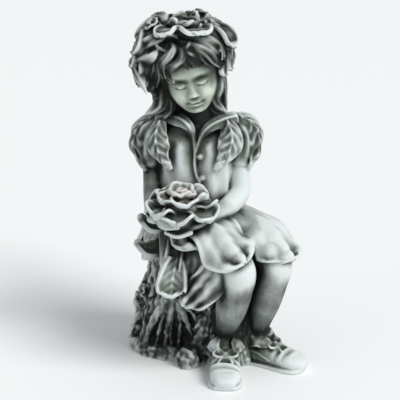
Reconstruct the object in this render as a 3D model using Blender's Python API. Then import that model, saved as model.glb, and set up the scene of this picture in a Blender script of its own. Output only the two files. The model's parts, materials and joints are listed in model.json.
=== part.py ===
"""Cast stone garden statue: a girl with a rose in her hands, seated on a tree stump, all one casting.

The figure is modelled in hundredths of the statue's height, with +Z up and the torso facing -Y,
and is scaled to its real height at the end.
"""

import math
import random

import bmesh
import bpy
import numpy as np
from mathutils import Matrix

STATUE_HEIGHT = 0.66  # metres, from the ground to the top of the wreath
CELL = 0.0044 * STATUE_HEIGHT  # the smallest form that the casting keeps
MOST_TRIANGLES = 9600
SMOOTHING_PASSES = 2

# Where the middle of the finished outline lies in the modelling frame, in hundredths of the height.
MIDDLE = (1.13, -1.32)

# The head: its middle, and its lean and nod in degrees.
HEAD_AT = (-6.2, -3.0, 84.3)
HEAD_LEAN, HEAD_NOD = 13.0, 16.0

STONE_GREY = (0.36, 0.38, 0.36, 1.0)
STONE_ROUGHNESS = 0.85

# The blouse, from hip to neck: x, y, z, half width, half depth.
TORSO = [
    (-5.0, 5.5, 35.0, 10.0, 8.6),
    (-5.0, 4.8, 41.0, 10.0, 8.4),
    (-4.6, 3.0, 46.5, 9.6, 7.2),
    (-4.5, 1.4, 52.0, 10.0, 7.5),
    (-4.5, 0.6, 58.0, 10.4, 7.8),
    (-4.5, 0.4, 63.0, 10.8, 7.2),
    (-4.4, 0.4, 66.4, 9.0, 5.8),
    (-4.2, 0.2, 69.0, 4.6, 4.2),
]
TORSO_SQUARENESS = 2.3


def unit(v):
    """v, or each row of it, at length one."""
    v = np.asarray(v, float)
    return v / np.maximum(np.linalg.norm(v, axis=-1, keepdims=True), 1e-9)


def spline(rows, count):
    """count rows along a smooth curve through the given rows."""
    rows = np.asarray(rows, float)
    ends = np.vstack([2 * rows[0] - rows[1], rows, 2 * rows[-1] - rows[-2]])
    place = np.linspace(0, len(rows) - 1, count)
    first = np.minimum(place.astype(int), len(rows) - 2)
    t = (place - first)[:, None]
    a, b, c, d = (ends[first + k] for k in range(4))
    return 0.5 * (
        2 * b
        + (c - a) * t
        + (2 * a - 5 * b + 4 * c - d) * t**2
        + (3 * b - a - 3 * c + d) * t**3
    )


def step(x, low, high):
    """0 below low, 1 above high, and smooth between."""
    t = np.clip((x - low) / (high - low), 0, 1)
    return t * t * (3 - 2 * t)


def mound(x, z, at, size):
    """A soft bump of height one at a place, with a half width each way."""
    return np.exp(-(((x - at[0]) / size[0]) ** 2) - ((z - at[1]) / size[1]) ** 2)


def grain(points, seed, scale=(1.0, 1.0, 1.0), waves=14):
    """Smooth random relief of about -1 to 1 at each point."""
    rng = np.random.RandomState(seed)
    ways = unit(rng.normal(size=(waves, 3))) * rng.uniform(0.6, 1.6, size=(waves, 1))
    starts = rng.uniform(0, 2 * math.pi, size=waves)
    place = np.asarray(points, float) * np.asarray(scale)
    return np.sin(place @ ways.T + starts).sum(axis=-1) / math.sqrt(0.5 * waves) / 2


class Clay:
    """The forms that the statue is built up from, each one a closed skin."""

    def __init__(self):
        self.points = []
        self.faces = []

    def tube(self, rings):
        """A closed skin over rings of equal size."""
        rows, sides, _ = rings.shape
        first = len(self.points)
        self.points.extend(map(tuple, rings.reshape(-1, 3)))
        for row in range(rows - 1):
            here, above = first + row * sides, first + (row + 1) * sides
            for k in range(sides):
                n = (k + 1) % sides
                self.faces.append((here + k, here + n, above + n, above + k))
        self.faces.append(tuple(first + k for k in reversed(range(sides))))
        last = first + (rows - 1) * sides
        self.faces.append(tuple(last + k for k in range(sides)))

    def plate(self, front, back):
        """A closed skin over two grids of equal size, a wall's thickness apart."""
        rows, cols, _ = front.shape
        first = len(self.points)
        behind = first + rows * cols
        self.points.extend(map(tuple, front.reshape(-1, 3)))
        self.points.extend(map(tuple, back.reshape(-1, 3)))
        for i in range(rows - 1):
            for j in range(cols - 1):
                a = i * cols + j
                square = (a, a + 1, a + cols + 1, a + cols)
                self.faces.append(tuple(first + k for k in square))
                self.faces.append(tuple(behind + k for k in reversed(square)))
        rim = [j for j in range(cols)]
        rim += [i * cols + cols - 1 for i in range(1, rows)]
        rim += [(rows - 1) * cols + j for j in range(cols - 2, -1, -1)]
        rim += [i * cols for i in range(rows - 2, 0, -1)]
        for a, b in zip(rim, rim[1:] + rim[:1]):
            self.faces.append((first + b, first + a, behind + a, behind + b))

    def limb(self, stations, facing=(0, -1, 0), sides=24, rows=None, carve=None, blunt=0.8, square=2.0):
        """A rounded form along stations of (x, y, z, half width, half depth); its depth runs along facing."""
        rows = rows or 9 * len(stations)
        line = spline(stations, rows)
        centre, half = line[:, :3], np.maximum(line[:, 3:5], 0.05)
        along = unit(np.gradient(centre, axis=0))
        rounding = np.radians([80, 62, 44, 24])[:, None]
        cap = blunt * half[[0, -1]].min(axis=1)
        start = centre[0] - along[0] * cap[0] * np.sin(rounding)
        end = (centre[-1] + along[-1] * cap[1] * np.sin(rounding))[::-1]
        centre = np.vstack([start, centre, end])
        half = np.vstack([half[0] * np.cos(rounding), half, half[-1] * np.cos(rounding)[::-1]])
        along = np.vstack([np.tile(along[0], (4, 1)), along, np.tile(along[-1], (4, 1))])
        deep = np.asarray(facing, float) - along * (along @ np.asarray(facing, float))[:, None]
        deep = unit(deep)
        wide = np.cross(along, deep)
        angle = np.linspace(0, 2 * math.pi, sides, endpoint=False)[None, :]
        c = np.sign(np.cos(angle)) * np.abs(np.cos(angle)) ** (2 / square)
        s = np.sign(np.sin(angle)) * np.abs(np.sin(angle)) ** (2 / square)
        more = 0.0
        if carve is not None:
            share = np.concatenate([np.zeros(4), np.linspace(0, 1, rows), np.ones(4)])[:, None]
            ends = np.cos(rounding)[:, 0]
            taper = np.concatenate([ends, np.ones(rows), ends[::-1]])[:, None]
            more = carve(share, angle) * taper
        across, depth = half[:, :1] * c + more * np.cos(angle), half[:, 1:] * s + more * np.sin(angle)
        self.tube(centre[:, None] + wide[:, None] * across[..., None] + deep[:, None] * depth[..., None])

    def sheet(
        self,
        spine,
        facing,
        width,
        shape=(0.35, 0.62, 2.0),
        cup=0.25,
        ruffle=0.35,
        waves=2.5,
        roll=0.0,
        thick=0.9,
        phase=0.0,
        veins=0.0,
        flutes=0.0,
        lip=0.3,
        rows=40,
        cols=25,
    ):
        """A petal or leaf along a spine.

        shape is its width at the base, where it is widest, and how round its tip is. cup lifts its sides
        towards facing, ruffle waves its rim, roll turns the rim over, veins are ridges, flutes are folds
        that deepen towards the tip, and lip is how much the rim is thickened.
        """
        base, widest, tip = shape
        line = spline(spine, rows)
        s = np.linspace(0, 1, rows)[:, None]
        v = np.linspace(-1, 1, cols)[None, :]
        opening = base + (1 - base) * np.sin(0.5 * math.pi * np.clip(s / widest, 0, 1))
        closing = np.clip(1 - (np.clip(s - widest, 0, 1) / (1 - widest)) ** tip, 0, 1)
        closing = closing ** (0.5 if tip > 1.3 else 1.0)
        half = width * np.maximum(opening * closing, 0.05)
        along = unit(np.gradient(line, axis=0))
        facing = np.atleast_2d(np.asarray(facing, float))
        hint = spline(facing, rows) if len(facing) > 1 else np.tile(facing, (rows, 1))
        normal = unit(hint - along * (along * hint).sum(axis=1, keepdims=True))
        across = np.cross(along, normal)
        edge = np.abs(v)
        rim = np.maximum(edge, step(s, 0.55, 1.0))
        rise = cup * half * v**2
        wave = np.sin(2 * math.pi * waves * s + phase + 1.9 * (v < 0))
        rise = rise + ruffle * edge**2 * step(s, 0.0, 0.6) * wave
        rise = rise + 0.8 * ruffle * s**4 * np.sin(2.6 * math.pi * v + 1.7 * phase)
        folds = np.sin(3.4 * math.pi * v + phase + 1.2 * s) * (1 - 0.3 * edge)
        rise = rise + flutes * step(s, 0.1, 1.0) * folds
        rise = rise + roll * step(rim, 0.62, 1.0)
        narrowing = 1 - 0.22 * min(abs(cup), 1.5) * v**2
        spread = across[:, None] * (half * v * narrowing)[..., None]
        surface = line[:, None] + spread + normal[:, None] * rise[..., None]
        out = unit(np.cross(np.gradient(surface, axis=1), np.gradient(surface, axis=0)))
        out *= np.sign((out * normal[:, None]).sum(axis=2, keepdims=True) + 1e-9)
        wall = 0.5 * thick * (1 - 0.2 * rim**2 + lip * np.exp(-(((rim - 0.92) / 0.08) ** 2)))
        front = surface + out * wall[..., None]
        if veins:
            slant = np.sin(2 * math.pi * (5.5 * s - 1.5 * edge))
            relief = np.exp(-((v * half / 0.3) ** 2)) + 0.75 * np.clip(slant, -0.4, 1) * (1 - edge)
            front = front + out * (veins * relief * (1 - step(rim, 0.8, 1.0)))[..., None]
        self.plate(front, surface - out * wall[..., None])

    def ball(self, at, radii, axis=(0, 0, 1)):
        """An egg with its middle at a place."""
        a = unit(axis)
        turn = np.radians(np.linspace(-86, 86, 15))
        stations = []
        for t in turn:
            place = np.array(at) + a * radii[2] * math.sin(t)
            stations.append((*place, radii[0] * math.cos(t), radii[1] * math.cos(t)))
        facing = (0, -1, 0) if abs(a[1]) < 0.8 else (0, 0, 1)
        self.limb(stations, facing, rows=30, blunt=0.3)


class Lines:
    """Lines for a carved cord to follow, each with its half width and the way its flat side faces."""

    def __init__(self):
        self.lines = []

    def add(self, points, half, facing=(0.13, -0.9, 0.4)):
        """One line; half is one half width or one for each point."""
        self.lines.append((np.asarray(points, float), np.broadcast_to(half, len(points)), facing))

    def sweep(self, clay, rows=40, sides=26, depth_share=0.7, strands=2.0, strand_depth=0.16, twist=5.0):
        """Sweeps a carved cord along every line and adds it to the clay."""
        for points, half, facing in self.lines:

            def ridges(share, angle, half=half):
                """Strands that wind along the cord."""
                size = np.interp(share, np.linspace(0, 1, len(half)), half)
                wave = np.cos(2 * strands * angle + twist * share) * np.sin(math.pi * np.clip(share, 0, 1))
                return strand_depth * size * wave

            stations = [(*place, size, depth_share * size) for place, size in zip(points, half)]
            clay.limb(stations, facing, sides=sides, rows=rows, carve=ridges, blunt=0.6)


def head_frame():
    """The head's axes: to her left, ahead and up, as columns."""
    lean = Matrix.Rotation(math.radians(-HEAD_LEAN), 3, "Y")
    nod = Matrix.Rotation(math.radians(HEAD_NOD), 3, "X")
    return np.array(lean @ nod) @ np.diag([1.0, -1.0, 1.0])


def in_head(local):
    """Points given as (to her left, ahead, up) from the head's middle, in the modelling frame."""
    return np.asarray(local, float) @ head_frame().T + np.array(HEAD_AT)


def scalp(turn, rise, reach):
    """A point round the head, turn degrees to her left of the face and rise degrees up."""
    t, r = np.radians(turn), np.radians(rise)
    place = np.stack([8.0 * np.cos(r) * np.sin(t), 9.2 * np.cos(r) * np.cos(t), 9.4 * np.sin(r)], axis=-1)
    return in_head(place * np.asarray(reach)[..., None] + np.array([0, -0.3, 1.2]))


def chest(x, z, lift=0.0):
    """A point on the front of the blouse, lifted clear of it."""
    rows = np.array(TORSO)
    middle, back, wide, deep = (np.interp(z, rows[:, 2], rows[:, k]) for k in (0, 1, 3, 4))
    share = min(abs((x - middle) / wide), 0.98)
    return np.array([x, back - deep * (1 - share**TORSO_SQUARENESS) ** (1 / TORSO_SQUARENESS) - lift, z])


def face_relief(x, z):
    """How far the features of a calm child's face stand out from a plain egg."""
    side = np.abs(x)
    relief = -0.95 * mound(side, z, (2.7, -0.1), (2.2, 1.5))
    relief += 1.05 * mound(side, z, (3.0, -0.9), (1.5, 0.95))
    relief += 0.22 * mound(side, z, (3.1, 1.9), (2.3, 0.7))
    lash = z + 1.55 - 0.16 * (side - 3.0) ** 2
    relief -= 0.62 * np.exp(-((lash / 0.24) ** 2)) * step(1.75 - np.abs(side - 3.0), 0, 0.5)
    crease = z - 0.25 + 0.2 * (side - 3.0) ** 2
    relief -= 0.3 * np.exp(-((crease / 0.22) ** 2)) * step(1.75 - np.abs(side - 3.0), 0, 0.5)
    bridge = step(-z, -0.6, 3.4)
    ridge = (0.1 + 0.72 * bridge) * np.exp(-((x / (0.72 + 0.22 * bridge)) ** 2))
    relief += ridge * step(1.9 - z, 0, 2.8) * step(z + 4.5, 0, 0.9)
    relief += 0.72 * mound(x, z, (0, -3.7), (0.85, 0.72))
    relief += 0.44 * mound(side, z, (0.92, -3.98), (0.5, 0.46))
    relief -= 0.5 * mound(side, z, (0.45, -4.55), (0.3, 0.24))
    relief += 0.45 * mound(x, z, (0, -6.2), (2.4, 1.6))
    relief -= 0.16 * mound(x, z, (0, -5.15), (0.3, 0.5))
    relief += 0.44 * mound(side, z, (0.55, -5.82), (0.85, 0.36))
    relief += 0.58 * mound(x, z, (0, -6.85), (1.1, 0.45))
    mouth = z + 6.33 - 0.08 * x**2
    relief -= 0.62 * np.exp(-((mouth / 0.2) ** 2)) * step(1.95 - side, 0, 0.5)
    relief -= 0.4 * mound(side, z, (2.0, -6.05), (0.42, 0.42))
    relief += 0.85 * mound(side, z, (3.9, -4.1), (2.1, 2.0))
    relief += 0.5 * mound(x, z, (0, -8.8), (1.5, 0.9))
    relief -= 0.36 * mound(x, z, (0, -7.75), (1.6, 0.42))
    return relief


def head(clay):
    """The face and skull, from level sections (height, reach ahead and behind, half width), and the neck."""
    sections = [
        (-10.3, 5.4, 3.7, 0.8),
        (-9.9, 6.5, 2.0, 2.3),
        (-9.1, 7.1, -0.5, 3.6),
        (-7.8, 7.3, -2.5, 4.9),
        (-6.0, 7.6, -4.6, 6.1),
        (-3.5, 7.8, -6.6, 7.0),
        (0.0, 7.9, -8.3, 7.4),
        (3.5, 8.3, -9.0, 7.5),
        (6.5, 7.6, -8.2, 6.7),
        (8.8, 5.7, -6.0, 4.9),
        (10.0, 3.2, -3.2, 2.9),
        (10.4, 0.9, -0.9, 0.8),
    ]
    rows, sides = 190, 190
    z, ahead, behind, half = spline(sections, rows).T[:, :, None]
    angle = np.linspace(0, 2 * math.pi, sides, endpoint=False)[None, :]
    angle = angle - 0.32 * np.sin(2 * angle)
    x = half * np.sign(np.cos(angle)) * np.abs(np.cos(angle)) ** 0.9
    round_y = np.sign(np.sin(angle)) * np.abs(np.sin(angle)) ** 0.9
    y = 0.5 * (ahead + behind) + 0.5 * (ahead - behind) * round_y
    z = z + 0 * x
    y = y + face_relief(x, z) * step(np.sin(angle), 0.15, 0.6)
    clay.tube(in_head(np.stack([x, y, z], axis=2)))
    neck = [(-3.6, -0.3, 66.0, 4.2, 4.0), (-3.4, -1.4, 70.0, 3.5, 3.5), (-4.4, -2.0, 76.0, 3.6, 3.8)]
    clay.limb(neck, sides=48)


def lock(lines, spine, width, facing):
    """One curling lock of hair, full in the middle and thin at its tip."""
    line = spline(spine, 12)
    swell = np.sin(np.linspace(0.45, math.pi, 12)) ** 0.8
    lines.add(line, np.maximum(width * swell, 0.25), facing)


def hair(clay):
    """The hair: a full cap of leafy locks, wider on her right, a fringe, and long hair down her neck."""
    up = head_frame() @ np.array([0, 0, 1.0])
    clay.ball(in_head((-0.9, -3.2, 2.0)), (10.2, 8.6, 7.6), axis=up)
    clay.ball(in_head((0, 0.0, 4.6)), (7.2, 7.6, 5.4), axis=up)
    rng = random.Random(7)
    share = np.linspace(0, 1, 6)
    middle = np.array(HEAD_AT)
    coarse = Lines()
    # Each tier of locks: count, rise at the root and at the tip, and how far it stands out.
    tiers = [(13, 66, 22, 0.05), (16, 44, -2, 0.05), (18, 20, -22, 0.0)]
    for tier, (count, top, bottom, out) in enumerate(tiers):
        for k in range(count):
            turn = 60 + 240 * (k + 0.5 * (tier % 2)) / (count - 0.5) + rng.uniform(-4, 4)
            across = math.sin(math.radians(turn))
            lifted = bottom + (14 * max(0.0, across) + 20 * max(0.0, -across)) * (tier == 2)
            full = 1.38 + out + 0.24 * max(0.0, -across) ** 2 + 0.07 * (k % 2) + rng.uniform(-0.03, 0.03)
            bend = rng.choice((-1, 1)) * rng.uniform(9, 16)
            rise = top + (lifted + rng.uniform(-9, 9) - top) * share
            reach = full * (0.83 + 0.2 * np.sin(0.5 * math.pi * share) + 0.09 * share**3)
            path = scalp(turn + bend * np.sin(2.2 * math.pi * share + tier), rise, reach)
            lock(coarse, path, rng.uniform(1.5, 2.3), path[3] - middle)
    coarse.sweep(clay, depth_share=0.78, strands=2.0, strand_depth=0.24, twist=4.0)
    fringe = Lines()
    # The fringe and the locks at the temples: how far out, half width, then the turn and rise of each point.
    for out, width, *places in [
        (1.42, 1.8, (14, 68), (34, 54), (50, 38), (60, 22), (64, 8), (76, -12)),
        (1.33, 1.6, (-6, 64), (10, 54), (28, 42), (42, 27), (49, 12), (66, -6)),
        (1.52, 1.5, (40, 64), (58, 46), (62, 30), (52, 14)),
        (1.5, 1.9, (64, 44), (78, 26), (70, 10), (82, -4)),
        (1.24, 1.35, (0, 58), (5, 45), (15, 30), (27, 17)),
        (1.27, 1.3, (14, 56), (23, 42), (34, 27), (44, 10)),
        (1.22, 1.3, (-12, 56), (-7, 44), (2, 31), (10, 19)),
        (1.3, 1.4, (-14, 60), (-6, 50), (-2, 41), (-8, 32), (-19, 27), (-28, 19), (-24, 6)),
        (1.34, 1.4, (-27, 60), (-19, 49), (-27, 38), (-38, 27), (-34, 12)),
        (1.35, 1.55, (-38, 60), (-43, 45), (-53, 30), (-48, 12), (-54, -2)),
        (1.43, 1.7, (-50, 58), (-61, 38), (-58, 20), (-66, 2), (-62, -14)),
        (1.54, 1.5, (-42, 64), (-54, 52), (-67, 38), (-72, 22)),
        (1.58, 1.7, (-88, 56), (-80, 40), (-66, 27), (-70, 8), (-78, -4)),
        (1.5, 1.7, (-94, 34), (-84, 16), (-72, 0), (-79, -14)),
        (1.42, 1.5, (-76, 22), (-66, 4), (-71, -12), (-64, -20)),
    ]:
        turn, rise = spline(places, 12).T
        along = np.linspace(0, 1, 12)
        path = scalp(turn, rise, out * (0.88 + 0.14 * np.sin(0.62 * math.pi * along)))
        lock(fringe, path, width, path[6] - middle)
    fringe.sweep(clay, depth_share=0.95, strands=1.5, strand_depth=0.2, twist=3.0)
    long_locks = Lines()
    # Locks that fall beside the cheeks and turn out on the shoulders.
    for spine, facing, width in [
        (
            [(-13.2, -3.0, 83.5), (-13.6, -4.4, 78.6), (-14.4, -4.4, 74.8), (-18.2, -2.6, 71.8)],
            (-0.6, -1, 0.2), 2.3,
        ),
        (
            [(-12.8, -0.6, 82.0), (-13.0, -2.4, 77.0), (-12.6, -3.4, 73.4), (-15.4, -3.6, 70.8)],
            (-0.4, -1, 0.2), 2.1,
        ),
        (
            [(-11.4, -4.4, 80.0), (-11.2, -5.0, 76.4), (-11.6, -4.6, 73.4), (-13.0, -4.6, 71.0)],
            (-0.3, -1, 0.2), 1.4,
        ),
        ([(2.4, -3.0, 86.0), (3.2, -3.8, 80.5), (1.9, -4.0, 76.0), (5.8, -2.4, 71.8)], (0.6, -1, 0.2), 2.0),
        ([(1.6, -1.0, 83.0), (1.4, -2.4, 78.0), (0.4, -3.0, 74.5), (2.6, -3.0, 71.2)], (0.4, -1, 0.2), 1.8),
    ]:
        lock(long_locks, spine, width, facing)
    for k in range(13):
        turn = 92 + 14.6 * k
        t = math.radians(turn)
        wave = 1.0 if k % 2 else -1.0
        path = [
            scalp(turn, 0, 1.1),
            scalp(turn + 6 * wave, -34, 1.12),
            np.array([-4.8 + 7.6 * math.sin(t + 0.2 * wave), 4.6 - 3.8 * math.cos(t), 72.0]),
            np.array([-4.8 + 8.4 * math.sin(t - 0.1 * wave), 5.0 - 4.4 * math.cos(t), 66.0 + 1.7 * (k % 3)]),
            np.array([-4.8 + 8.9 * math.sin(t + 0.1 * wave), 5.0 - 5.0 * math.cos(t), 62.6 + 1.7 * (k % 3)]),
        ]
        lock(long_locks, path, 2.3, (math.sin(t), -math.cos(t), 0.1))
    long_locks.sweep(clay, depth_share=0.66, strands=2.5, strand_depth=0.2, twist=4.0)
    clay.limb([(-5.4, 2.6, 80.0, 8.0, 6.0), (-4.8, 3.4, 72.0, 7.0, 4.4), (-4.8, 3.8, 66.0, 7.4, 3.4)])


def rose(clay, centre, axis, radius, tiers, seed):
    """An open rose. Each tier: its count of petals, their tilt, length, width, curl, first turn and height."""
    rng = random.Random(seed)
    axis = unit(axis)
    ahead = unit(np.array([0, -1.0, 0]) - axis * (axis @ np.array([0, -1.0, 0])))
    side = np.cross(axis, ahead)
    centre = np.asarray(centre, float)
    for count, tilt, length, width, curl, first, low in tiers:
        for k in range(count):
            turn = math.radians(first + 360 * k / count + rng.uniform(-7, 7))
            out = side * math.sin(turn) + ahead * math.cos(turn)
            spine = [centre + out * radius * 0.05 + axis * low * radius]
            reach = length * radius * rng.uniform(0.92, 1.08)
            droop = rng.uniform(-6, 8)
            for more, part in ((-14, 0.34), (4, 0.28), (curl * 0.5, 0.22), (curl, 0.16)):
                lean = math.radians(tilt + more + droop)
                spine.append(spine[-1] + (out * math.sin(lean) + axis * math.cos(lean)) * reach * part)
            lean = math.radians(tilt)
            clay.sheet(
                spine,
                axis * math.sin(lean) - out * math.cos(lean),
                width * radius * rng.uniform(0.94, 1.08),
                shape=(0.4, 0.66, 2.4),
                cup=0.75 - 0.5 * tilt / 90,
                ruffle=0.06 * radius * (0.4 + tilt / 60),
                waves=1.4,
                thick=max(0.06 * radius + 0.3, 0.65),
                phase=rng.uniform(0, 6),
                flutes=0.016 * radius,
                lip=0.4,
            )


def wreath(clay):
    """The large rose on the head, with leaves and small blossoms round it."""
    tiers = [
        (3, 4, 0.4, 0.22, -8, 20, 0.06),
        (4, 30, 0.5, 0.36, 24, 70, 0.04),
        (5, 60, 0.7, 0.44, 30, 10, 0.02),
        (6, 84, 0.96, 0.5, 44, 32, 0.0),
    ]
    rose(clay, (-6.6, -4.8, 93.75), (-0.04, -0.2, 0.98), 9.6, tiers, 5)
    # Leaves under the rose: turn, rise at the tip, reach, half width, and how pointed they are.
    for turn, rise, reach, width, point in [
        (62, 26, 1.54, 1.9, 1.3),
        (82, 12, 1.66, 2.3, 1.3),
        (106, 20, 1.62, 2.8, 1.3),
        (138, 20, 1.5, 3.0, 1.2),
        (166, 24, 1.48, 3.0, 1.2),
        (-164, 20, 1.5, 3.2, 1.2),
        (-134, 24, 1.56, 3.0, 1.2),
        (-106, 22, 1.66, 3.0, 1.3),
    ]:
        spine = [
            scalp(turn - 6, 66, 1.12),
            scalp(turn - 2, 0.62 * 66 + 0.38 * rise, reach * 0.93),
            scalp(turn + 3, 0.28 * 66 + 0.72 * rise, reach),
            scalp(turn + 7, rise, reach * 1.02),
        ]
        outward = spine[2] - np.array(HEAD_AT)
        clay.sheet(
            spine,
            outward,
            width,
            shape=(0.4, 0.55, point),
            cup=-0.3,
            ruffle=0.55,
            waves=2.2,
            veins=0.3,
            flutes=0.3,
            phase=0.1 * turn,
        )
    # Broad petals that spread over the brow from under the rose.
    for spine, facing, width, phase in [
        (
            [(-9.0, -6.0, 94.8), (-11.6, -8.8, 96.0), (-12.6, -11.2, 95.2), (-12.2, -13.0, 93.4)],
            (-0.3, -0.3, 1), 3.2, 0.4,
        ),
        (
            [(-5.2, -7.6, 94.8), (-4.6, -10.4, 96.0), (-3.9, -12.6, 95.6), (-3.4, -14.0, 94.0)],
            (0.1, -0.3, 1), 4.1, 2.2,
        ),
        (
            [(-1.5, -5.0, 95.0), (1.6, -6.8, 96.2), (3.8, -8.4, 95.2), (5.0, -9.4, 93.4)],
            (0.4, -0.2, 1), 3.3, 4.0,
        ),
    ]:
        shape = (0.6, 0.6, 2.6)
        clay.sheet(spine, facing, width, shape, cup=-0.25, ruffle=0.55, waves=1.3, phase=phase, lip=0.7)
    tiers = [(3, 12, 0.8, 0.5, 10, 0, 0.0), (5, 60, 1.1, 0.55, 30, 40, -0.1)]
    places = [(-98, 46, 2.4), (-112, 32, 2.4), (-92, 60, 2.3), (140, 44, 2.4), (-146, 44, 2.6), (88, 46, 2.0)]
    for turn, rise, size in places:
        at = scalp(turn, rise, 1.46 + (0.14 if turn < 0 else 0.0))
        rose(clay, at, at - np.array(HEAD_AT), size, tiers, int(turn) + 200)


def blouse(clay):
    """The blouse: its folds, the open collar with its piping, and the placket with two buttons."""

    def folds(share, angle):
        """Two broad soft folds down the front, fine upright wrinkles, and gathers at the back."""
        across = np.cos(angle)
        front = np.clip(np.sin(angle), 0, 1) ** 0.5
        soft = 0.95 * np.exp(-(((across + 0.37 + 0.04 * np.sin(5 * share)) / 0.17) ** 2))
        soft = soft + 0.85 * np.exp(-(((across - 0.34 - 0.05 * np.sin(4 * share)) / 0.16) ** 2))
        soft = soft + 0.5 * np.exp(-(((across - 0.78) / 0.1) ** 2))
        soft = soft + 0.45 * np.exp(-(((across + 0.82) / 0.1) ** 2))
        soft = soft * front * step(share, 0.3, 0.5) * step(0.88 - share, 0, 0.2)
        fine = 0.22 * np.sin(12 * angle + 2.2 * np.sin(7 * share))
        fine = fine * step(share, 0.25, 0.4) * step(0.85 - share, 0, 0.15)
        behind = np.clip(-np.sin(angle), 0, 1) ** 0.5
        gathers = 0.42 * np.sin(15 * angle + 1.5 * np.sin(6 * share)) * behind * step(0.8 - share, 0, 0.45)
        return soft + fine + gathers

    clay.limb(TORSO, sides=110, rows=90, carve=folds, square=TORSO_SQUARENESS)
    left_edge = [
        (-12.4, -2.4, 71.4), (-9.0, -5.4, 71.3),
        (-6.4, -6.8, 69.6), chest(-5.2, 66.6, 0.8), chest(-4.8, 63.6, 0.4),
    ]
    right_edge = [
        (6.8, -2.0, 71.2), (2.9, -4.6, 70.7),
        (-0.8, -6.4, 69.2), chest(-3.0, 66.4, 0.8), chest(-4.4, 63.2, 0.4),
    ]
    cords = Lines()
    for edge, facing in ((left_edge, (-0.45, -0.8, 0.7)), (right_edge, (0.45, -0.8, 0.7))):
        clay.sheet(edge, facing, 2.0, shape=(0.8, 0.25, 0.9), cup=-0.4, ruffle=0.15, thick=1.0)
        cords.add([np.array(p) + (0, -0.5, 0.3) for p in edge[:4]] + [chest(-4.6, 62.4, 0.4)], 0.5)
    placket = [(-4.7, 62.4, 0.4), (-4.7, 59.0, 0.3), (-4.2, 56.0, 0.3), (-3.2, 53.8, 0.3)]
    cords.add([chest(*place) for place in placket], 0.46)
    hem = [chest(x, 47.6 + 0.4 * math.sin(1.1 * x), 0.2) for x in np.linspace(-13.6, 4.6, 12)]
    cords.add(hem, 0.55)
    back_seam = [(-4.5, TORSO[k][1] + TORSO[k][4] + 0.15, TORSO[k][2]) for k in (2, 3, 4, 5)]
    cords.add(back_seam, 0.4, (0, 1, 0.1))
    cords.sweep(clay, rows=30, sides=12, depth_share=1.0, strand_depth=0.0)
    for z, x in ((61.1, -3.3), (55.3, -2.6)):
        clay.ball(chest(x, z, 0.3), (0.9, 0.9, 0.55), axis=(0, -1, 0))
    collar = [(4.4, 3.2, 70.6), (0.4, 6.4, 70.4), (-4.4, 7.4, 70.2), (-9.2, 6.4, 70.4), (-13.0, 3.2, 70.6)]
    clay.sheet(collar, (0, 0.6, 0.8), 2.0, shape=(0.8, 0.5, 3.0), cup=-0.3, ruffle=0.15, thick=1.0)


def sleeves(clay):
    """Puffed sleeves, each under an outer leaf, a leaf at the front of the shoulder and one behind."""
    for side, x in ((-1, -15.8), (1, 7.0)):

        def pleats(share, angle):
            """Gathers that run down the puff."""
            return 0.34 * np.cos(9 * angle + 1.5 * share) * np.sin(math.pi * np.clip(share, 0, 1))

        puff = [
            (x - side * 1.5, 0.4, 69.0, 2.4, 2.8),
            (x + side * 0.8, 0.2, 66.2, 3.8, 4.4),
            (x + side * 1.2, 0.0, 62.0, 3.8, 4.6),
            (x + side * 0.8, -0.3, 58.6, 3.1, 3.5),
        ]
        clay.limb(puff, sides=70, rows=40, carve=pleats)
    leaf = {"shape": (0.45, 0.5, 1.2), "cup": -0.3, "ruffle": 0.5, "waves": 3.5, "thick": 1.0, "veins": 0.5}
    outer_left = [(-15.6, 0.2, 70.6), (-19.8, -0.8, 67.6), (-21.0, -1.6, 62.4), (-18.0, -2.4, 56.0)]
    outer_right = [(6.8, 0.2, 70.8), (11.2, -0.8, 68.2), (12.4, -1.6, 62.8), (10.0, -2.4, 56.4)]
    front_left = [(-14.0, -4.0, 70.4), (-15.0, -7.4, 66.6), (-13.8, -8.7, 62.4), (-11.0, -8.8, 58.2)]
    front_right = [(4.0, -4.0, 70.4), (5.2, -7.4, 66.6), (3.9, -8.9, 62.4), (0.6, -9.0, 58.0)]
    for spine, facing, width, phase in (
        (outer_left, (-1, -0.7, 0.2), 4.4, 0.0),
        (outer_right, (1, -0.7, 0.2), 4.4, 1.0),
        (front_left, (-0.25, -1, 0.1), 3.3, 2.0),
        (front_right, (0.2, -1, 0.1), 3.6, 3.0),
    ):
        clay.sheet(spine, facing, width, phase=phase, rows=60, cols=35, **leaf)
    for side, x in ((-1, -15.2), (1, 6.4)):
        spine = [
            (x, 3.6, 70.6), (x + side * 2.6, 6.0, 66.5), (x + side * 2.4, 6.4, 62),
            (x - side * 0.5, 6.2, 57.8),
        ]
        clay.sheet(spine, (side * 0.4, 1, 0.1), 3.8, rows=60, cols=35, **leaf)


def finger(clay, points, radius=0.72):
    """One finger, tapering to its tip."""
    line = spline(points, 7)
    taper = np.linspace(1.0, 0.78, 7)
    stations = [(*p, radius * t, radius * t) for p, t in zip(line, taper)]
    clay.limb(stations, (0.1, -0.5, 1), sides=16, rows=20, blunt=1.0)


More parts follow.
